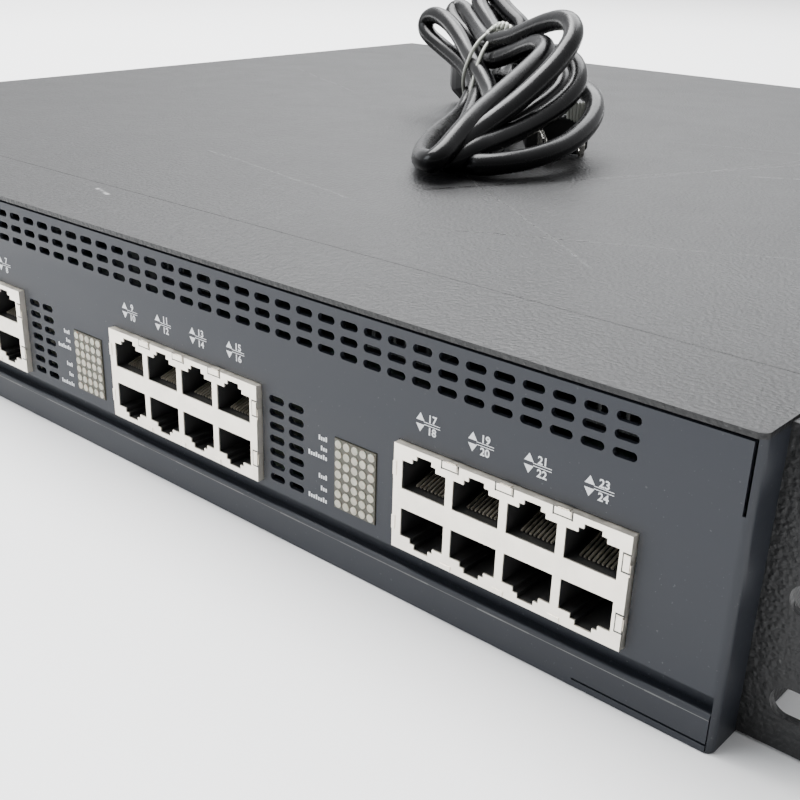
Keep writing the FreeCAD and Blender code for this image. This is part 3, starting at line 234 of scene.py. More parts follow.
def plate_metal(name, colour, rough, stained=0.15, brushed=(1.0, 1.0, 1.0)):
    """Plated sheet metal with faint stains, an uneven sheen and a fine grain."""
    n = Nodes(name)
    stains = n.ramp(n.noise(160.0, 5.0, 0.7), 0.42, 0.72)
    dull = tuple(channel * 0.62 for channel in colour[:3]) + (1.0,)
    mixed = n.mix(n.math("MULTIPLY", stains, stained * 2.0), colour, dull)
    grain = n.noise(1800.0, 3.0, 0.6, n.stretched(brushed))
    shine = n.ramp(n.noise(300.0, 4.0), 0.3, 0.7, rough - 0.07, rough + 0.1)
    return n.finish(mixed, shine, n.bump(grain, 0.12, 0.00005), metal=1.0)


def plastic(name, colour, rough, grain=1200.0, strength=0.15, **fixed):
    """Moulded plastic with a fine spark-eroded grain and uneven sheen."""
    n = Nodes(name)
    uneven = n.noise(45.0, 3.0)
    light = tuple(min(1.0, channel * 1.25 + 0.002) for channel in colour[:3]) + (1.0,)
    mixed = n.mix(n.ramp(uneven, 0.35, 0.7), colour, light)
    shine = n.ramp(uneven, 0.3, 0.7, rough - 0.05, rough + 0.06)
    return n.finish(mixed, shine, n.bump(n.noise(grain, 3.0), strength, 0.0001), **fixed)


def board_mask(name):
    """Green solder mask with darker lines between raised tracks, and tinned pads."""
    n = Nodes(name)
    across = n.stretched((1.0, 0.12, 1.0))
    tracks = n.ramp(n.cells(420.0, "DISTANCE_TO_EDGE", across), 0.02, 0.06)
    lines = n.ramp(n.cells(420.0, "DISTANCE_TO_EDGE", n.stretched((0.12, 1.0, 1.0))), 0.02, 0.06)
    copper = n.math("MINIMUM", tracks, lines)
    colour = n.mix(copper, (0.012, 0.10, 0.04, 1.0), (0.006, 0.055, 0.022, 1.0))
    pads = n.ramp(n.cells(260.0), 0.10, 0.14, 1.0, 0.0)
    colour = n.mix(n.math("MULTIPLY", pads, 0.8), colour, (0.6, 0.58, 0.5, 1.0))
    return n.finish(colour, 0.32, n.bump(copper, 0.3, 0.00008))


def winding_tape(name):
    """Yellow tape wound in level bands round a transformer."""
    n = Nodes(name)
    bands = n.math("SINE", n.math("MULTIPLY", n.axis(2), 2600.0))
    colour = n.mix(n.ramp(bands, -0.6, 0.9), (0.42, 0.30, 0.05, 1.0), (0.62, 0.47, 0.10, 1.0))
    return n.finish(colour, 0.38, n.bump(bands, 0.3, 0.0002))


def lens_material(name):
    """Unlit cream lenses: milky, and uneven in tint."""
    n = Nodes(name)
    uneven = n.noise(700.0, 3.0)
    colour = n.mix(n.ramp(uneven, 0.35, 0.7), (0.34, 0.325, 0.255, 1.0), (0.47, 0.45, 0.365, 1.0))
    return n.finish(colour, 0.34, n.bump(uneven, 0.15, 0.0001), Subsurface_Weight=0.15,
                    Subsurface_Scale=0.0006)


def jacket_material(name):
    """Smooth black cable jacket: soft sheen, scuffs and a little dust."""
    n = Nodes(name)
    scuffs = n.ramp(n.noise(420.0, 5.0, 0.7), 0.55, 0.75)
    colour = n.mix(n.math("MULTIPLY", scuffs, 0.3), grey(0.002, 1.2), grey(0.008))
    shine = n.ramp(n.noise(120.0, 4.0), 0.3, 0.75, 0.2, 0.34)
    wall = n.noise(260.0, 2.0)
    return n.finish(colour, shine, n.bump(wall, 0.25, 0.0002), Specular_IOR_Level=0.25)


def ink_material(name):
    """Printed legend ink: off-white with worn specks."""
    n = Nodes(name)
    worn = n.ramp(n.noise(2600.0, 3.0), 0.62, 0.70)
    colour = n.mix(n.math("MULTIPLY", worn, 0.5), (0.66, 0.67, 0.68, 1.0), (0.25, 0.25, 0.26, 1.0))
    return n.finish(colour, 0.5, n.bump(worn, 0.2, 0.00003))


def floor_material():
    n = Nodes("floor")
    colour = n.mix(n.ramp(n.noise(3.0, 2.0), 0.3, 0.7), grey(0.93), grey(0.95))
    return n.finish(colour, 0.6)


def make_materials():
    """One material for each slot of the record, and the finishes that only this file uses."""
    # the start and end of each scratch on the top, its width, and how light it is; mm
    marks = [
        ((-64, -192), (-44, -196), 0.8, 0.3),
        ((-4, -184), (6, -186), 0.9, 0.3),
        ((60, -120), (150, 60), 1.4, 0.006),
        ((96, -60), (170, 150), 1.1, 0.006),
        ((-30, -120), (60, -138), 0.7, 0.045),
        ((120, -20), (205, 40), 1.2, 0.04),
        ((70, 20), (190, 60), 0.9, 0.006),
        ((20, -60), (150, -150), 0.6, 0.045),
        ((-170, 60), (-90, 20), 0.8, 0.008),
        ((140, 60), (180, 190), 1.2, 0.04),
        ((90, -150), (190, -96), 1.0, 0.006),
    ]
    return {
        "case_paint": pebbled_paint("case_paint", 0.010, 0.44, 1100.0, marks),
        "front_paint": smooth_paint("front_paint", 0.017, 0.46),
        "tray_paint": smooth_paint("tray_paint", 0.012, 0.45),
        "screw_steel": plate_metal("screw_steel", grey(0.16), 0.35),
        "screw_bright": plate_metal("screw_bright", (0.8, 0.78, 0.72, 1.0), 0.25),
        "jack_metal": plate_metal("jack_metal", (0.95, 0.895, 0.79, 1.0), 0.42, 0.14),
        "jack_plastic": plastic("jack_plastic", grey(0.012), 0.5),
        "contact_gold": plate_metal("contact_gold", (0.92, 0.84, 0.70, 1.0), 0.4),
        "matrix_body": plastic("matrix_body", (0.055, 0.052, 0.036, 1.0), 0.5, 1600.0),
        "matrix_lens": lens_material("matrix_lens"),
        "board_green": board_mask("board_green"),
        "stud_brass": plate_metal("stud_brass", (0.72, 0.55, 0.26, 1.0), 0.3),
        "component_black": plastic("component_black", grey(0.018), 0.55, 900.0, 0.25),
        "sink_aluminium": plate_metal("sink_aluminium", grey(0.72), 0.36, 0.1, (1.0, 1.0, 0.1)),
        "can_sleeve": plastic("can_sleeve", (0.02, 0.03, 0.10, 1.0), 0.28),
        "winding": winding_tape("winding"),
        "wire_cover": plastic("wire_cover", (0.33, 0.02, 0.02, 1.0), 0.35),
        "fan_plastic": plastic("fan_plastic", grey(0.014), 0.5, 900.0, 0.2),
        "guard_chrome": plate_metal("guard_chrome", grey(0.72), 0.2, 0.08),
        "inlet_plastic": plastic("inlet_plastic", grey(0.012), 0.42),
        "serial_metal": plate_metal("serial_metal", grey(0.62), 0.33),
        "cord_black": jacket_material("cord_black"),
        "plug_black": plastic("plug_black", grey(0.004, 1.1), 0.4, 800.0, 0.25),
        "tie_grey": plastic("tie_grey", (0.42, 0.43, 0.38, 1.0), 0.22, 500.0, 0.35,
                            Coat_Weight=0.5, Coat_Roughness=0.15),
        "legend_ink": ink_material("legend_ink"),
        # bright metal that paints the highlight on the lower rail's rounded edge
        "rail_highlight_metal": plate_metal("rail_highlight_metal", grey(0.16), 0.45, 0.3),
    }


def dress_nodes(materials):
    """Give every CAD node the material of its slot."""
    own = {"front_shell": "front_paint", "lower_rail": "front_paint", "bay_cover": "front_paint"}
    for entry in frame["record"]["subparts"]:
        node = frame["nodes"][entry["node"]]
        node.data.materials.clear()
        node.data.materials.append(materials[own.get(entry["node"], entry["material_slot"])])


def soften_edges():
    """A small round, in mm, on the edges of the visible folded and moulded pieces."""
    rounds = {"top_strip": 0.45, "lower_rail": 0.3, "rack_ear_left": 0.3, "rack_ear_right": 0.3,
              "bay_cover": 0.3, "top_cover": 0.4, "power_inlet": 0.3, "chips": 0.2,
              "ear_screws": 0.4, "cover_screws": 0.4, "bay_screws": 0.4, "fan_screws": 0.4,
              "inlet_screws": 0.4}
    for block in (1, 2, 3):
        rounds["matrix_frame_%d" % block] = 0.15
        rounds["matrix_dots_%d" % block] = 0.18
    for name, size in rounds.items():
        bevel = frame["nodes"][name].modifiers.new("round", "BEVEL")
        bevel.width = size * MM
        bevel.segments = 2
        bevel.limit_method = "ANGLE"
        bevel.angle_limit = math.radians(38.0)


# ------------------------------------------------------------------ mesh helpers
def add_object(name, data, material, body):
    made = bpy.data.objects.new(name, data)
    bpy.context.scene.collection.objects.link(made)
    data.materials.append(material)
    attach(made, body)
    return made


def mesh_from(name, build, material, body):
    """A mesh object made by a function that fills a bmesh."""
    shape = bmesh.new()
    build(shape)
    mesh = bpy.data.meshes.new(name)
    shape.to_mesh(mesh)
    shape.free()
    return add_object(name, mesh, material, body)


def flat_patch(shape, corners, y):
    """A flat printed patch on the face from its (x, z) corners, in metres."""
    shape.faces.new([shape.verts.new((x, y, z)) for x, z in corners])


# ------------------------------------------------------------------ printed legends
JACK_PITCH = 13.97 * MM
INK_LIFT = 0.03 * MM


def port_columns():
    """(block number, column, middle x) of each pair of stacked jacks."""
    for block in range(3):
        low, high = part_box("jack_insert_%d" % (block + 1))
        left = (low[0] + high[0]) / 2.0
        for column in range(4):
            yield block, column, left + (column - 1.5) * JACK_PITCH


def make_legends(materials):
    """Up and down triangles, a double rule, and port numbers above each pair of jacks."""
    ink = materials["legend_ink"]
    face = FRONT - INK_LIFT
    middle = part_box("jack_insert_1")[1][2] + 6.3 * MM

    def shapes(shape):
        for block, column, x in port_columns():
            left = x - 2.9 * MM
            for side in (1, -1):
                base = middle + side * 0.42 * MM
                tip = middle + side * 2.2 * MM
                flat_patch(shape, [(left - 1.15 * MM, base), (left + 1.15 * MM, base),
                                   (left, tip)][::side], face)
            for rise in (-0.28 * MM, 0.28 * MM):
                low, high = middle + rise - 0.08 * MM, middle + rise + 0.08 * MM
                flat_patch(shape, [(x - 1.9 * MM, low), (x + 2.5 * MM, low),
                                   (x + 2.5 * MM, high), (x - 1.9 * MM, high)], face)

    mesh_from("port_marks", shapes, ink, "chassis")
    for block, column, x in port_columns():
        for number, rise in ((8 * block + 2 * column + 1, 0.55), (8 * block + 2 * column + 2, -2.3)):
            text = bpy.data.curves.new("port_%02d" % number, "FONT")
            text.body = str(number)
            text.size = 2.4 * MM
            text.align_x = "CENTER"
            text.offset = 0.00006
            text.extrude = 0.00001
            made = add_object("port_number_%02d" % number, text, ink, "chassis")
            made.rotation_euler = (math.radians(90.0), 0.0, 0.0)
            made.location = (x + 0.3 * MM, face, middle + rise * MM)


def make_row_marks(materials):
    """Short rows of plain bars beside the indicators; each row's height and length in mm."""
    rows = ((32.4, 2.9), (29.8, 2.2), (27.6, 6.3), (22.5, 2.9), (19.4, 2.2), (16.4, 6.3))
    bar_pitch = 0.75

    def bars(shape):
        for block in range(3):
            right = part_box("matrix_frame_%d" % (block + 1))[0][0] - 2.5 * MM
            for height, long in rows:
                cells = round(long / bar_pitch)
                for cell in range(cells):
                    start = right - long * MM + long * MM * cell / cells
                    end = start + long * MM / cells * 0.66
                    low = height * MM - 0.62 * MM
                    high = low + (1.25 if cell % 3 == 0 else 0.9) * MM
                    flat_patch(shape, [(start, low), (end, low), (end, high), (start, high)],
                               FRONT - INK_LIFT)

    mesh_from("row_marks", bars, materials["legend_ink"], "chassis")


def slab(shape, left, right, low, high, front, deep):
    """A thin upright block on the face from its edges in metres."""
    made = bmesh.ops.create_cube(shape, size=1.0)["verts"]
    size = Vector((right - left, deep, high - low))
    heart = Vector(((left + right) / 2.0, front + deep / 2.0, (low + high) / 2.0))
    for vertex in made:
        vertex.co = Vector(a * b for a, b in zip(vertex.co, size)) + heart


def make_shield_tabs(materials):
    """The spring fingers of the jack shields, each standing proud between two dark slits."""
    for block in range(3):
        low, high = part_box("jack_shield_%d" % (block + 1))
        middles = [x for number, column, x in port_columns() if number == block]
        webs = [(first + second) / 2.0 for first, second in zip(middles, middles[1:])]
        rows = [low[2] + (high[2] - low[2]) * share for share in (0.24, 0.76)]

        def fingers(shape):
            for x in webs:
                slab(shape, x - 1.9 * MM, x + 1.9 * MM, high[2] - 1.5 * MM, high[2] - 0.1 * MM,
                     low[1] - 0.28 * MM, 0.3 * MM)
                slab(shape, x - 1.5 * MM, x + 1.5 * MM, low[2] + 0.1 * MM, low[2] + 1.3 * MM,
                     low[1] - 0.22 * MM, 0.24 * MM)
            for z in rows:
                slab(shape, high[0] - 1.5 * MM, high[0] - 0.1 * MM, z - 1.7 * MM, z + 1.7 * MM,
                     low[1] - 0.28 * MM, 0.3 * MM)
                slab(shape, low[0] + 0.1 * MM, low[0] + 1.1 * MM, z - 1.7 * MM, z + 1.7 * MM,
                     low[1] - 0.22 * MM, 0.24 * MM)

        def slits(shape):
            for x in webs:
                for side in (-1, 1):
                    at = x + side * 2.2 * MM
                    slab(shape, at - 0.17 * MM, at + 0.17 * MM, high[2] - 2.0 * MM, high[2],
                         low[1] - 0.03 * MM, 0.04 * MM)
                slab(shape, x - 2.3 * MM, x + 2.3 * MM, high[2] - 1.9 * MM, high[2] - 1.65 * MM,
                     low[1] - 0.03 * MM, 0.04 * MM)
            for z in rows:
                for side in (-1, 1):
                    at = z + side * 2.0 * MM
                    slab(shape, high[0] - 1.9 * MM, high[0], at - 0.17 * MM, at + 0.17 * MM,
                         low[1] - 0.03 * MM, 0.04 * MM)
                slab(shape, high[0] - 1.9 * MM, high[0] - 1.68 * MM, z - 2.0 * MM, z + 2.0 * MM,
                     low[1] - 0.03 * MM, 0.04 * MM)

        made = mesh_from("shield_fingers_%d" % (block + 1), fingers, materials["jack_metal"],
                         "chassis")
        bevel = made.modifiers.new("round", "BEVEL")
        bevel.width = 0.1 * MM
        bevel.segments = 2
        mesh_from("shield_slits_%d" % (block + 1), slits, materials["jack_plastic"], "chassis")


def make_rail_line(materials):
    """A painted highlight: a bright metal line laid on the rail's rounded edge, of uneven height."""
    low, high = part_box("lower_rail")
    edge = low[1] - 0.00004
    count = 64

    # painted highlight: thin strips of bright metal along the rail's rounded edge
    def worn(shape):
        for cell in range(count):
            start = low[0] + (high[0] - low[0]) * cell / count
            end = low[0] + (high[0] - low[0]) * (cell + 1) / count
            thick = (0.11 + 0.07 * math.sin(cell * 1.7) * math.sin(cell * 0.37)) * MM
            middle = low[2] + 7.4 * MM
            flat_patch(shape, [(start, middle - thick), (end, middle - thick),
                               (end, middle + thick), (start, middle + thick)], edge)

    mesh_from("rail_painted_highlight", worn, materials["rail_highlight_metal"], "chassis")


# ------------------------------------------------------------------ power lead
HANK_TURN = math.radians(41.4)
HANK_HEART = Vector((12.0, -4.0, 0.0))
CORD = 7.0


def hank_point(along, across, height):
    """Metres, from millimetres along and across the hank and above the cover."""
    flat = Matrix.Rotation(HANK_TURN, 3, "Z") @ Vector((across, along, 0.0))
    lift = TOP / MM + 0.4 + height
    return Vector((HANK_HEART.x + flat.x, HANK_HEART.y + flat.y, lift)) * MM


# The lead's centre line from the plug to the connector: along, across and height in mm.
# It crosses the tied middle eleven times; five loops open to the front and five to the back.
# Several tips fold more sharply than a real cord would, and strands share space along much of it.
LEAD = [
    # out of the plug, back through the middle, and the low loop behind on the right
    (-20, 14.5, 6.8), (-15, 14.2, 6.8), (-7, 11.6, 7.2), (2, 7, 8.6), (11, 3.4, 9.5), (20, 4.4, 9),
    (31, 9, 7), (44, 14.5, 6.4), (56, 18.6, 9), (63, 19, 15), (61, 15.4, 21), (52, 10, 24),
    (40, 5.4, 23), (28, 1.6, 19.6), (18, -0.6, 16.8), (9, -1, 16),
    # the innermost front loop
    (-2, 3, 16.6), (-14, 7.8, 21.8), (-29, 12.2, 25.6), (-41, 15, 27.1), (-50, 15.9, 25.7),
    (-57, 14.3, 22.5), (-62, 10.3, 19.6), (-67, 5, 16.8), (-71, -0.6, 14), (-75, -6.2, 11.7),
    (-79, -11.3, 10.1), (-84, -16.4, 8.6), (-85, -21.4, 8.4), (-79, -22.4, 9.6),
    (-66, -16.4, 10.3), (-50, -11.4, 10.3), (-34, -7.4, 10.8), (-18, -6, 13.4), (-5, -7.6, 17.6),
    (7, -10.6, 21.6), (18, -12.8, 24.4),
    # the left loop behind
    (28, -14.8, 28), (38, -18, 32.4), (49, -22.2, 35.8), (58, -26.6, 37), (64, -30, 34),
    (62, -30, 29), (50, -22.7, 24.2), (39, -17.7, 21.3), (29, -13.7, 18.5), (20, -11.3, 15.9),
    (12, -10.5, 12.6), (2, -15.2, 5.2),
    # the front loop that lies far left and rises to the second tip
    (-12, -19.6, 3.7), (-28, -23.8, 3.6), (-46, -28, 3.6), (-64, -31.4, 3.6), (-80, -33, 3.7),
    (-91, -33.6, 4), (-99, -32.8, 5.4), (-104, -30.7, 5.8), (-103, -27.7, 7.8), (-97, -24.1, 10.9),
    (-90, -19.8, 14.6), (-81, -14.3, 18.2), (-72, -8.2, 21.8), (-63, -2.2, 25.4), (-54, 3.7, 29),
    (-46, 8.5, 32.2), (-38, 10.4, 34.1), (-29, 9.1, 34.6), (-19, 6.3, 32.4), (-9, 2.9, 29.2),
    (4, -4.2, 24.6), (14, -6, 23.6), (22, -7.4, 25),
    # the second loop behind, upright
    (31, -7.8, 28.4), (40, -12.3, 30.4), (49, -16.7, 33.5), (56, -19.1, 37), (59, -17.7, 39.5),
    (56, -14.3, 39.8), (46, -11.6, 37.2), (34, -9.4, 33.7), (22, -7.4, 31.2), (13, -6.4, 30.2),
    # the highest front loop: right over the top, then down to the left
    (3, -1.4, 32.4), (-7, 3, 34.8), (-16, 7, 38.1), (-25, 11, 41.1), (-34, 14.7, 43.1),
    (-42, 17.3, 43.4), (-49, 18.2, 41), (-55, 16.7, 37.7), (-60, 13.4, 33.8), (-65, 9.6, 30.1),
    (-70, 5, 26.4), (-75, -0.1, 22.5), (-80, -5.6, 18.9), (-85, -11.4, 15.4), (-90, -17.1, 12.3),
    (-95, -22.4, 9.6), (-100, -29.4, 6), (-97, -31.4, 4), (-86, -27.6, 3.6), (-68, -24.4, 3.6),
    (-48, -20.4, 3.6), (-30, -16.6, 4.2), (-14, -13, 7.4), (-1, -9.8, 12.6), (10, -8, 16),
    (20, -5.6, 17.4),
    # a loop behind, under the tall one
    (31, -1, 20.4), (41, 2.6, 26.4), (48, 3.4, 33), (53, 1.7, 38.8), (57, -1.6, 39.3),
    (60, -4.8, 37.7), (59, -6.2, 33.3), (51, -4.7, 28.2), (39, -2.9, 23.7), (27, -3.6, 16),
    (16, -1.6, 9.8), (5, -1, 7.8),
    # the widest front loop, along the cover and round to the right
    (-8, -2, 5.4), (-26, -1.4, 3.8), (-46, -4.4, 3.6), (-66, -9, 3.6), (-82, -13.6, 3.6),
    (-92, -19.6, 3.6), (-98, -17, 4.3), (-99, -12.1, 4.4), (-98, -6.2, 5), (-95, 0.6, 5.7),
    (-91, 6.9, 7), (-85, 13.1, 8.5), (-78, 18.4, 10.7), (-70, 22.9, 13.2), (-61, 25.9, 16.1),
    (-51, 26.7, 19), (-39, 25.1, 20.4), (-25, 21.2, 20.3), (-10, 16.3, 19.6), (4, 11, 16),
    (13, 8.4, 17), (20, 7.6, 20.4),
    # the tall loop behind
    (24.5, 8, 26), (28, 8.4, 31.5), (32, 8.7, 35.4), (37, 5.8, 37.7), (43, 2.5, 40.6),
    (49, -0.6, 44.1), (53, -3.2, 47.3), (55, -6.4, 47.8), (51, -8.6, 44.4), (43, -7.1, 39.9),
    (33, -4.9, 36.4), (23, -3, 33.4), (13, -1, 30.6), (4, 1.4, 30),
    # the front loop outside the others: right side, down to the left, back along the cover
    (-6, 4.7, 26.7), (-17, 10.3, 29.4), (-28, 14.7, 31), (-38, 18.3, 31), (-46, 20.4, 28.9),
    (-53, 20.5, 25.6), (-59, 18.2, 22.1), (-65, 13.6, 18.7), (-71, 7.9, 15.7), (-77, 1.6, 13.2),
    (-83, -4.6, 11.3), (-89, -11, 9.8), (-94, -16.4, 8.7), (-98, -23.4, 5), (-95, -25, 3.7),
    (-84, -20.8, 3.6), (-66, -17, 3.6), (-46, -12.8, 3.6), (-28, -9.8, 4.6), (-10, -9.8, 6.8),
    (4, -8.6, 7.2), (15, -7.2, 8), (24, -7.4, 10.4), (33, -8, 12.2)]


def hank_frame(along, across, height, pitch=0.0):
    """A local frame whose y runs along the hank and whose z is up, in metres."""
    spin = Matrix.Rotation(HANK_TURN, 4, "Z") @ Matrix.Rotation(math.radians(pitch), 4, "X")
    return Matrix.Translation(hank_point(along, across, height)) @ spin


def ring_loft(shape, rings):
    """Skin a list of closed rings of points and close both ends."""
    made = [[shape.verts.new(point) for point in ring] for ring in rings]
    for first, second in zip(made, made[1:]):
        for step in range(len(first)):
            after = (step + 1) % len(first)
            shape.faces.new((first[step], first[after], second[after], second[step]))
    shape.faces.new(list(reversed(made[0])))
    shape.faces.new(made[-1])


def block_ring(y, wide, tall, cut=0.0, lift=0.0, corner=1.2):
    """A rounded oblong ring across the hank in mm, its lower corners cut by the given amount."""
    half, top, low = wide / 2.0, tall / 2.0 + lift, -tall / 2.0 + lift
    foot = max(cut, corner)
    return [Vector(point) * MM for point in (
        (-half + foot, y, low), (half - foot, y, low), (half, y, low + foot),
        (half, y, top - corner), (half - corner, y, top), (-half + corner, y, top),
        (-half, y, top - corner), (-half, y, low + foot))]


def round_ring(y, wide, tall, sides=20):
    return [Vector((math.cos(math.tau * k / sides) * wide / 2.0, y,
                    math.sin(math.tau * k / sides) * tall / 2.0)) * MM for k in range(sides)]


def ride_lead(name, build, place, material, node):
    """A detailed piece on the lead, in place of the plain CAD one."""
    made = mesh_from(name, build, material, "power_lead")
    made.matrix_world = place
    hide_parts(node)
    bevel = made.modifiers.new("round", "BEVEL")
    bevel.width = 0.35 * MM
    bevel.segments = 2
    bevel.limit_method = "ANGLE"


def make_lead_ends(materials):
    """The connector with its bevelled body, the plug with its ribbed relief, and the blades."""
    black = materials["plug_black"]

    def connector(shape):
        ring_loft(shape, [block_ring(13.0, 17.0, 20.0, 5.0), block_ring(12.0, 20.0, 23.4, 6.0),
                          block_ring(-4.0, 20.0, 23.4, 6.0), block_ring(-8.0, 17.0, 20.0, 5.0),
                          block_ring(-12.5, 12.0, 13.0, 3.0)])
        for step in range(5):
            y = -13.5 - 1.9 * step
            ring_loft(shape, [round_ring(y + 0.6, 11.0 - step * 0.5, 12.0 - step * 0.6),
                              round_ring(y - 0.6, 11.0 - step * 0.5, 12.0 - step * 0.6)])
        ring_loft(shape, [round_ring(-12.0, 9.2, 9.6), round_ring(-24.0, 7.6, 7.8)])

    ride_lead("connector_body", connector, hank_frame(56.0, -8.0, 12.2), black,
              "lead_connector")

    def plug(shape):
        ring_loft(shape, [block_ring(-11.0, 21.0, 12.0, 2.0, 0.0, 1.6),
                          block_ring(-9.8, 22.0, 13.0, 2.2, 0.0, 1.8),
                          block_ring(0.0, 22.0, 13.0, 2.2, 0.0, 1.8),
                          block_ring(7.0, 17.0, 11.0, 2.2, 0.0, 1.8),
                          block_ring(11.0, 10.0, 9.4, 2.0, 0.0, 1.6)])
        for step in range(6):
            y = 12.6 + 2.0 * step
            wide = 9.4 - step * 0.3
            ring_loft(shape, [round_ring(y - 0.6, wide, wide), round_ring(y + 0.6, wide, wide)])
        ring_loft(shape, [round_ring(10.5, 8.6, 8.6), round_ring(24.0, 7.4, 7.4)])
        for step in range(4):
            y = -6.0 + 3.2 * step
            ring_loft(shape, [block_ring(y - 0.5, 22.5, 8.0), block_ring(y + 0.5, 22.5, 8.0)])

    ride_lead("plug_body", plug, hank_frame(-45.0, 14.5, 7.2, 4.5), black,
              "lead_plug")

    def blades(shape):
        half_gap, half_thick, hole_middle, hole_radius, sides = 6.35, 0.75, -12.6, 1.6, 16
        for side in (-1, 1):
            x = side * half_gap
            outline = [(0.6, -3.15), (-14.6, -3.15), (-16.6, -1.7), (-16.6, 1.7), (-14.6, 3.15),
                       (0.6, 3.15)]
            hole = [(hole_middle + hole_radius * math.cos(math.tau * k / sides),
                     hole_radius * math.sin(math.tau * k / sides)) for k in range(sides)]
            for face in (-half_thick, half_thick):
                outer = [shape.verts.new(((x + face) * MM, y * MM, z * MM)) for y, z in outline]
                inner = [shape.verts.new(((x + face) * MM, y * MM, z * MM)) for y, z in hole]
                edges = [shape.edges.new((ring[k], ring[(k + 1) % len(ring)]))
                         for ring in (outer, inner) for k in range(len(ring))]
                bmesh.ops.triangle_fill(shape, use_beauty=True, edges=edges)
            for ring in (outline, hole):
                for k in range(len(ring)):
                    first, second = ring[k], ring[(k + 1) % len(ring)]
                    shape.faces.new([shape.verts.new(((x + face) * MM, y * MM, z * MM))
                                     for face, (y, z) in ((-half_thick, first),
                                                          (half_thick, first),
                                                          (half_thick, second),
                                                          (-half_thick, second))])
        bmesh.ops.remove_doubles(shape, verts=shape.verts, dist=0.00001)
        bmesh.ops.recalc_face_normals(shape, faces=shape.faces)

    ride_lead("blade_pair", blades, hank_frame(-56.8, 14.5, 6.3, 4.5), materials["screw_bright"],
              "plug_blades")


def tie_strip(name, points, wide, materials, node):
    """A thin round tie wire that follows a list of hank points."""
    data = bpy.data.curves.new(name, "CURVE")
    data.dimensions = "3D"
    data.bevel_depth = wide / 2.0 * MM
    data.bevel_resolution = 2
    spline = data.splines.new("NURBS")
    spline.points.add(len(points) - 1)
    for point, place in zip(spline.points, points):
        point.co = (*hank_point(*place), 1.0)
    spline.order_u = 3
    spline.use_endpoint_u = True
    data.resolution_u = 4
    made = add_object(name, data, materials["tie_grey"], "power_lead")
    if node:
        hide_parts(node)


def make_ties(materials):
    """The twist tie: two turns round the middle, a twisted top, and a small coil by the plug."""
    outer = [(13, -3, 35.8), (11, -8, 33.4), (8, -12.4, 28.4), (7, -15, 21.6), (9, -15.8, 16.6),
             (14, -15, 11.6), (18, -13.4, 5.4), (18, -9, 1), (17, 0, 1), (17, 9, 2.4),
             (18, 14, 9), (17, 13.6, 20), (15, 9.4, 29), (14, 3, 35), (13, -3, 35.8)]
    inner = [(12, -2, 35.8), (8, -5.6, 32.4), (4, -9.4, 27), (0, -12, 19), (-1, -13, 12),
             (2, -13.6, 6.4), (6, -12, 1), (10, 0, 1), (12, 8, 2.4), (13, 13, 9),
             (13, 13.4, 20), (12, 9, 29.4), (12, 3, 35), (12, -2, 35.8)]
    tie_strip("tie_turn_1", outer, 1.5, materials, "lead_tie")
    tie_strip("tie_turn_2", inner, 1.5, materials, None)
    for name, phase in (("tie_twist_1", 0.0), ("tie_twist_2", math.pi)):
        twist = []
        for step in range(26):
            angle = phase + step * 0.95
            twist.append((12.0 - step * 0.3 + 1.1 * math.cos(angle),
                          -7.0 + step * 0.42 + 0.9 * math.sin(angle),
                          33.8 + 3.4 * math.sin(step * 0.13) + 0.9 * math.sin(angle)))
        tie_strip(name, twist, 1.5, materials, None)
    coil = []
    for step in range(46):
        angle = step * 0.9
        coil.append((-54.0 + 1.8 * math.cos(angle) - 0.04 * step, 17.2 + step * 0.15,
                     13.6 + 3.6 * math.sin(angle) + 0.02 * step))
    tie_strip("tie_coil", coil, 1.3, materials, None)


def make_cord(materials):
    """The tied lead as one round cord along its route."""
    data = bpy.data.curves.new("power_cord", "CURVE")
    data.dimensions = "3D"
    data.bevel_depth = CORD / 2.0 * MM
    data.bevel_resolution = 6
    data.resolution_u = 6
    spline = data.splines.new("NURBS")
    route = [hank_point(*place) for place in LEAD]
    spline.points.add(len(route) - 1)
    for point, place in zip(spline.points, route):
        point.co = (*place, 1.0)
    spline.order_u = 3
    spline.use_endpoint_u = True
    made = add_object("power_cord", data, materials["cord_black"], "power_lead")
    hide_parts("lead_hank")
    return made


def spline_length(curve):
    """The length of a curve's own line in metres, and its points."""
    bare = curve.copy()
    bare.data = curve.data.copy()
    bare.data.bevel_depth = 0.0
    mesh = bpy.data.meshes.new_from_object(bare)
    points = [vertex.co.copy() for vertex in mesh.vertices]
    bpy.data.meshes.remove(mesh)
    bpy.data.objects.remove(bare)
    return sum((after - before).length for before, after in zip(points, points[1:])), points


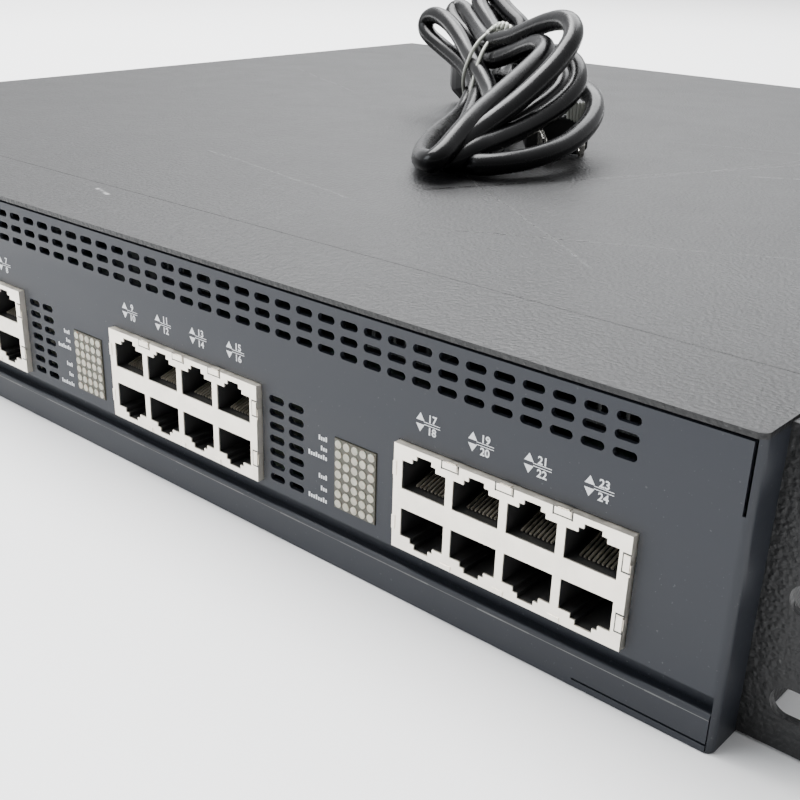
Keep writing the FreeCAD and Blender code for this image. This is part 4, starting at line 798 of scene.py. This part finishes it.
# ------------------------------------------------------------------ floor and light
def make_stage():
    """A wide pale floor just under the case."""
    mesh = bpy.data.meshes.new("floor")
    shape = bmesh.new()
    bmesh.ops.create_grid(shape, x_segments=1, y_segments=1, size=6.0)
    shape.to_mesh(mesh)
    shape.free()
    mesh.materials.append(floor_material())
    floor = bpy.data.objects.new("floor", mesh)
    floor.location = (0.0, 0.0, -0.0002)
    bpy.context.scene.collection.objects.link(floor)


def add_light(name, place, aim, power, wide, tall, colour=(1.0, 1.0, 1.0)):
    data = bpy.data.lights.new(name, "AREA")
    data.energy = power
    data.shape = "RECTANGLE"
    data.size = wide
    data.size_y = tall
    data.color = colour
    light = bpy.data.objects.new(name, data)
    light.location = place
    light.rotation_euler = (Vector(aim) - Vector(place)).to_track_quat("-Z", "Y").to_euler()
    bpy.context.scene.collection.objects.link(light)


def make_lights():
    """A room bright above, behind and to the left, and dim to the right; three soft panels."""
    world = bpy.data.worlds.new("world")
    world.use_nodes = True
    tree = world.node_tree
    place = tree.nodes.new("ShaderNodeTexCoord")
    toward = tree.nodes.new("ShaderNodeVectorMath")
    toward.operation = "DOT_PRODUCT"
    toward.inputs[1].default_value = (-0.55, 0.5, 0.67)
    tree.links.new(place.outputs["Generated"], toward.inputs[0])
    span = tree.nodes.new("ShaderNodeMapRange")
    span.inputs["From Min"].default_value = -0.35
    span.inputs["From Max"].default_value = 0.75
    span.inputs["To Min"].default_value = 0.3
    span.inputs["To Max"].default_value = 1.15
    tree.links.new(toward.outputs["Value"], span.inputs["Value"])
    back = tree.nodes["Background"]
    back.inputs["Color"].default_value = (0.97, 0.98, 1.0, 1.0)
    tree.links.new(span.outputs[0], back.inputs["Strength"])
    bpy.context.scene.world = world
    add_light("key", (-0.6, 1.2, 1.3), (0.0, 0.0, 0.05), 30.0, 1.5, 1.0, (0.98, 0.99, 1.0))
    add_light("front", (-0.9, -1.4, 0.8), (-0.1, -0.3, 0.0), 15.0, 1.0, 0.8,
              (0.9, 0.95, 1.0))
    add_light("above", (-1.0, 0.1, 2.2), (-0.4, 0.0, 0.0), 190.0, 1.8, 1.8)


make_camera()
materials = make_materials()
cord = make_cord(materials)
length, line = spline_length(cord)
dress_nodes(materials)
soften_edges()
make_legends(materials)
make_row_marks(materials)
make_rail_line(materials)
make_shield_tabs(materials)
make_lead_ends(materials)
make_ties(materials)
make_stage()
make_lights()
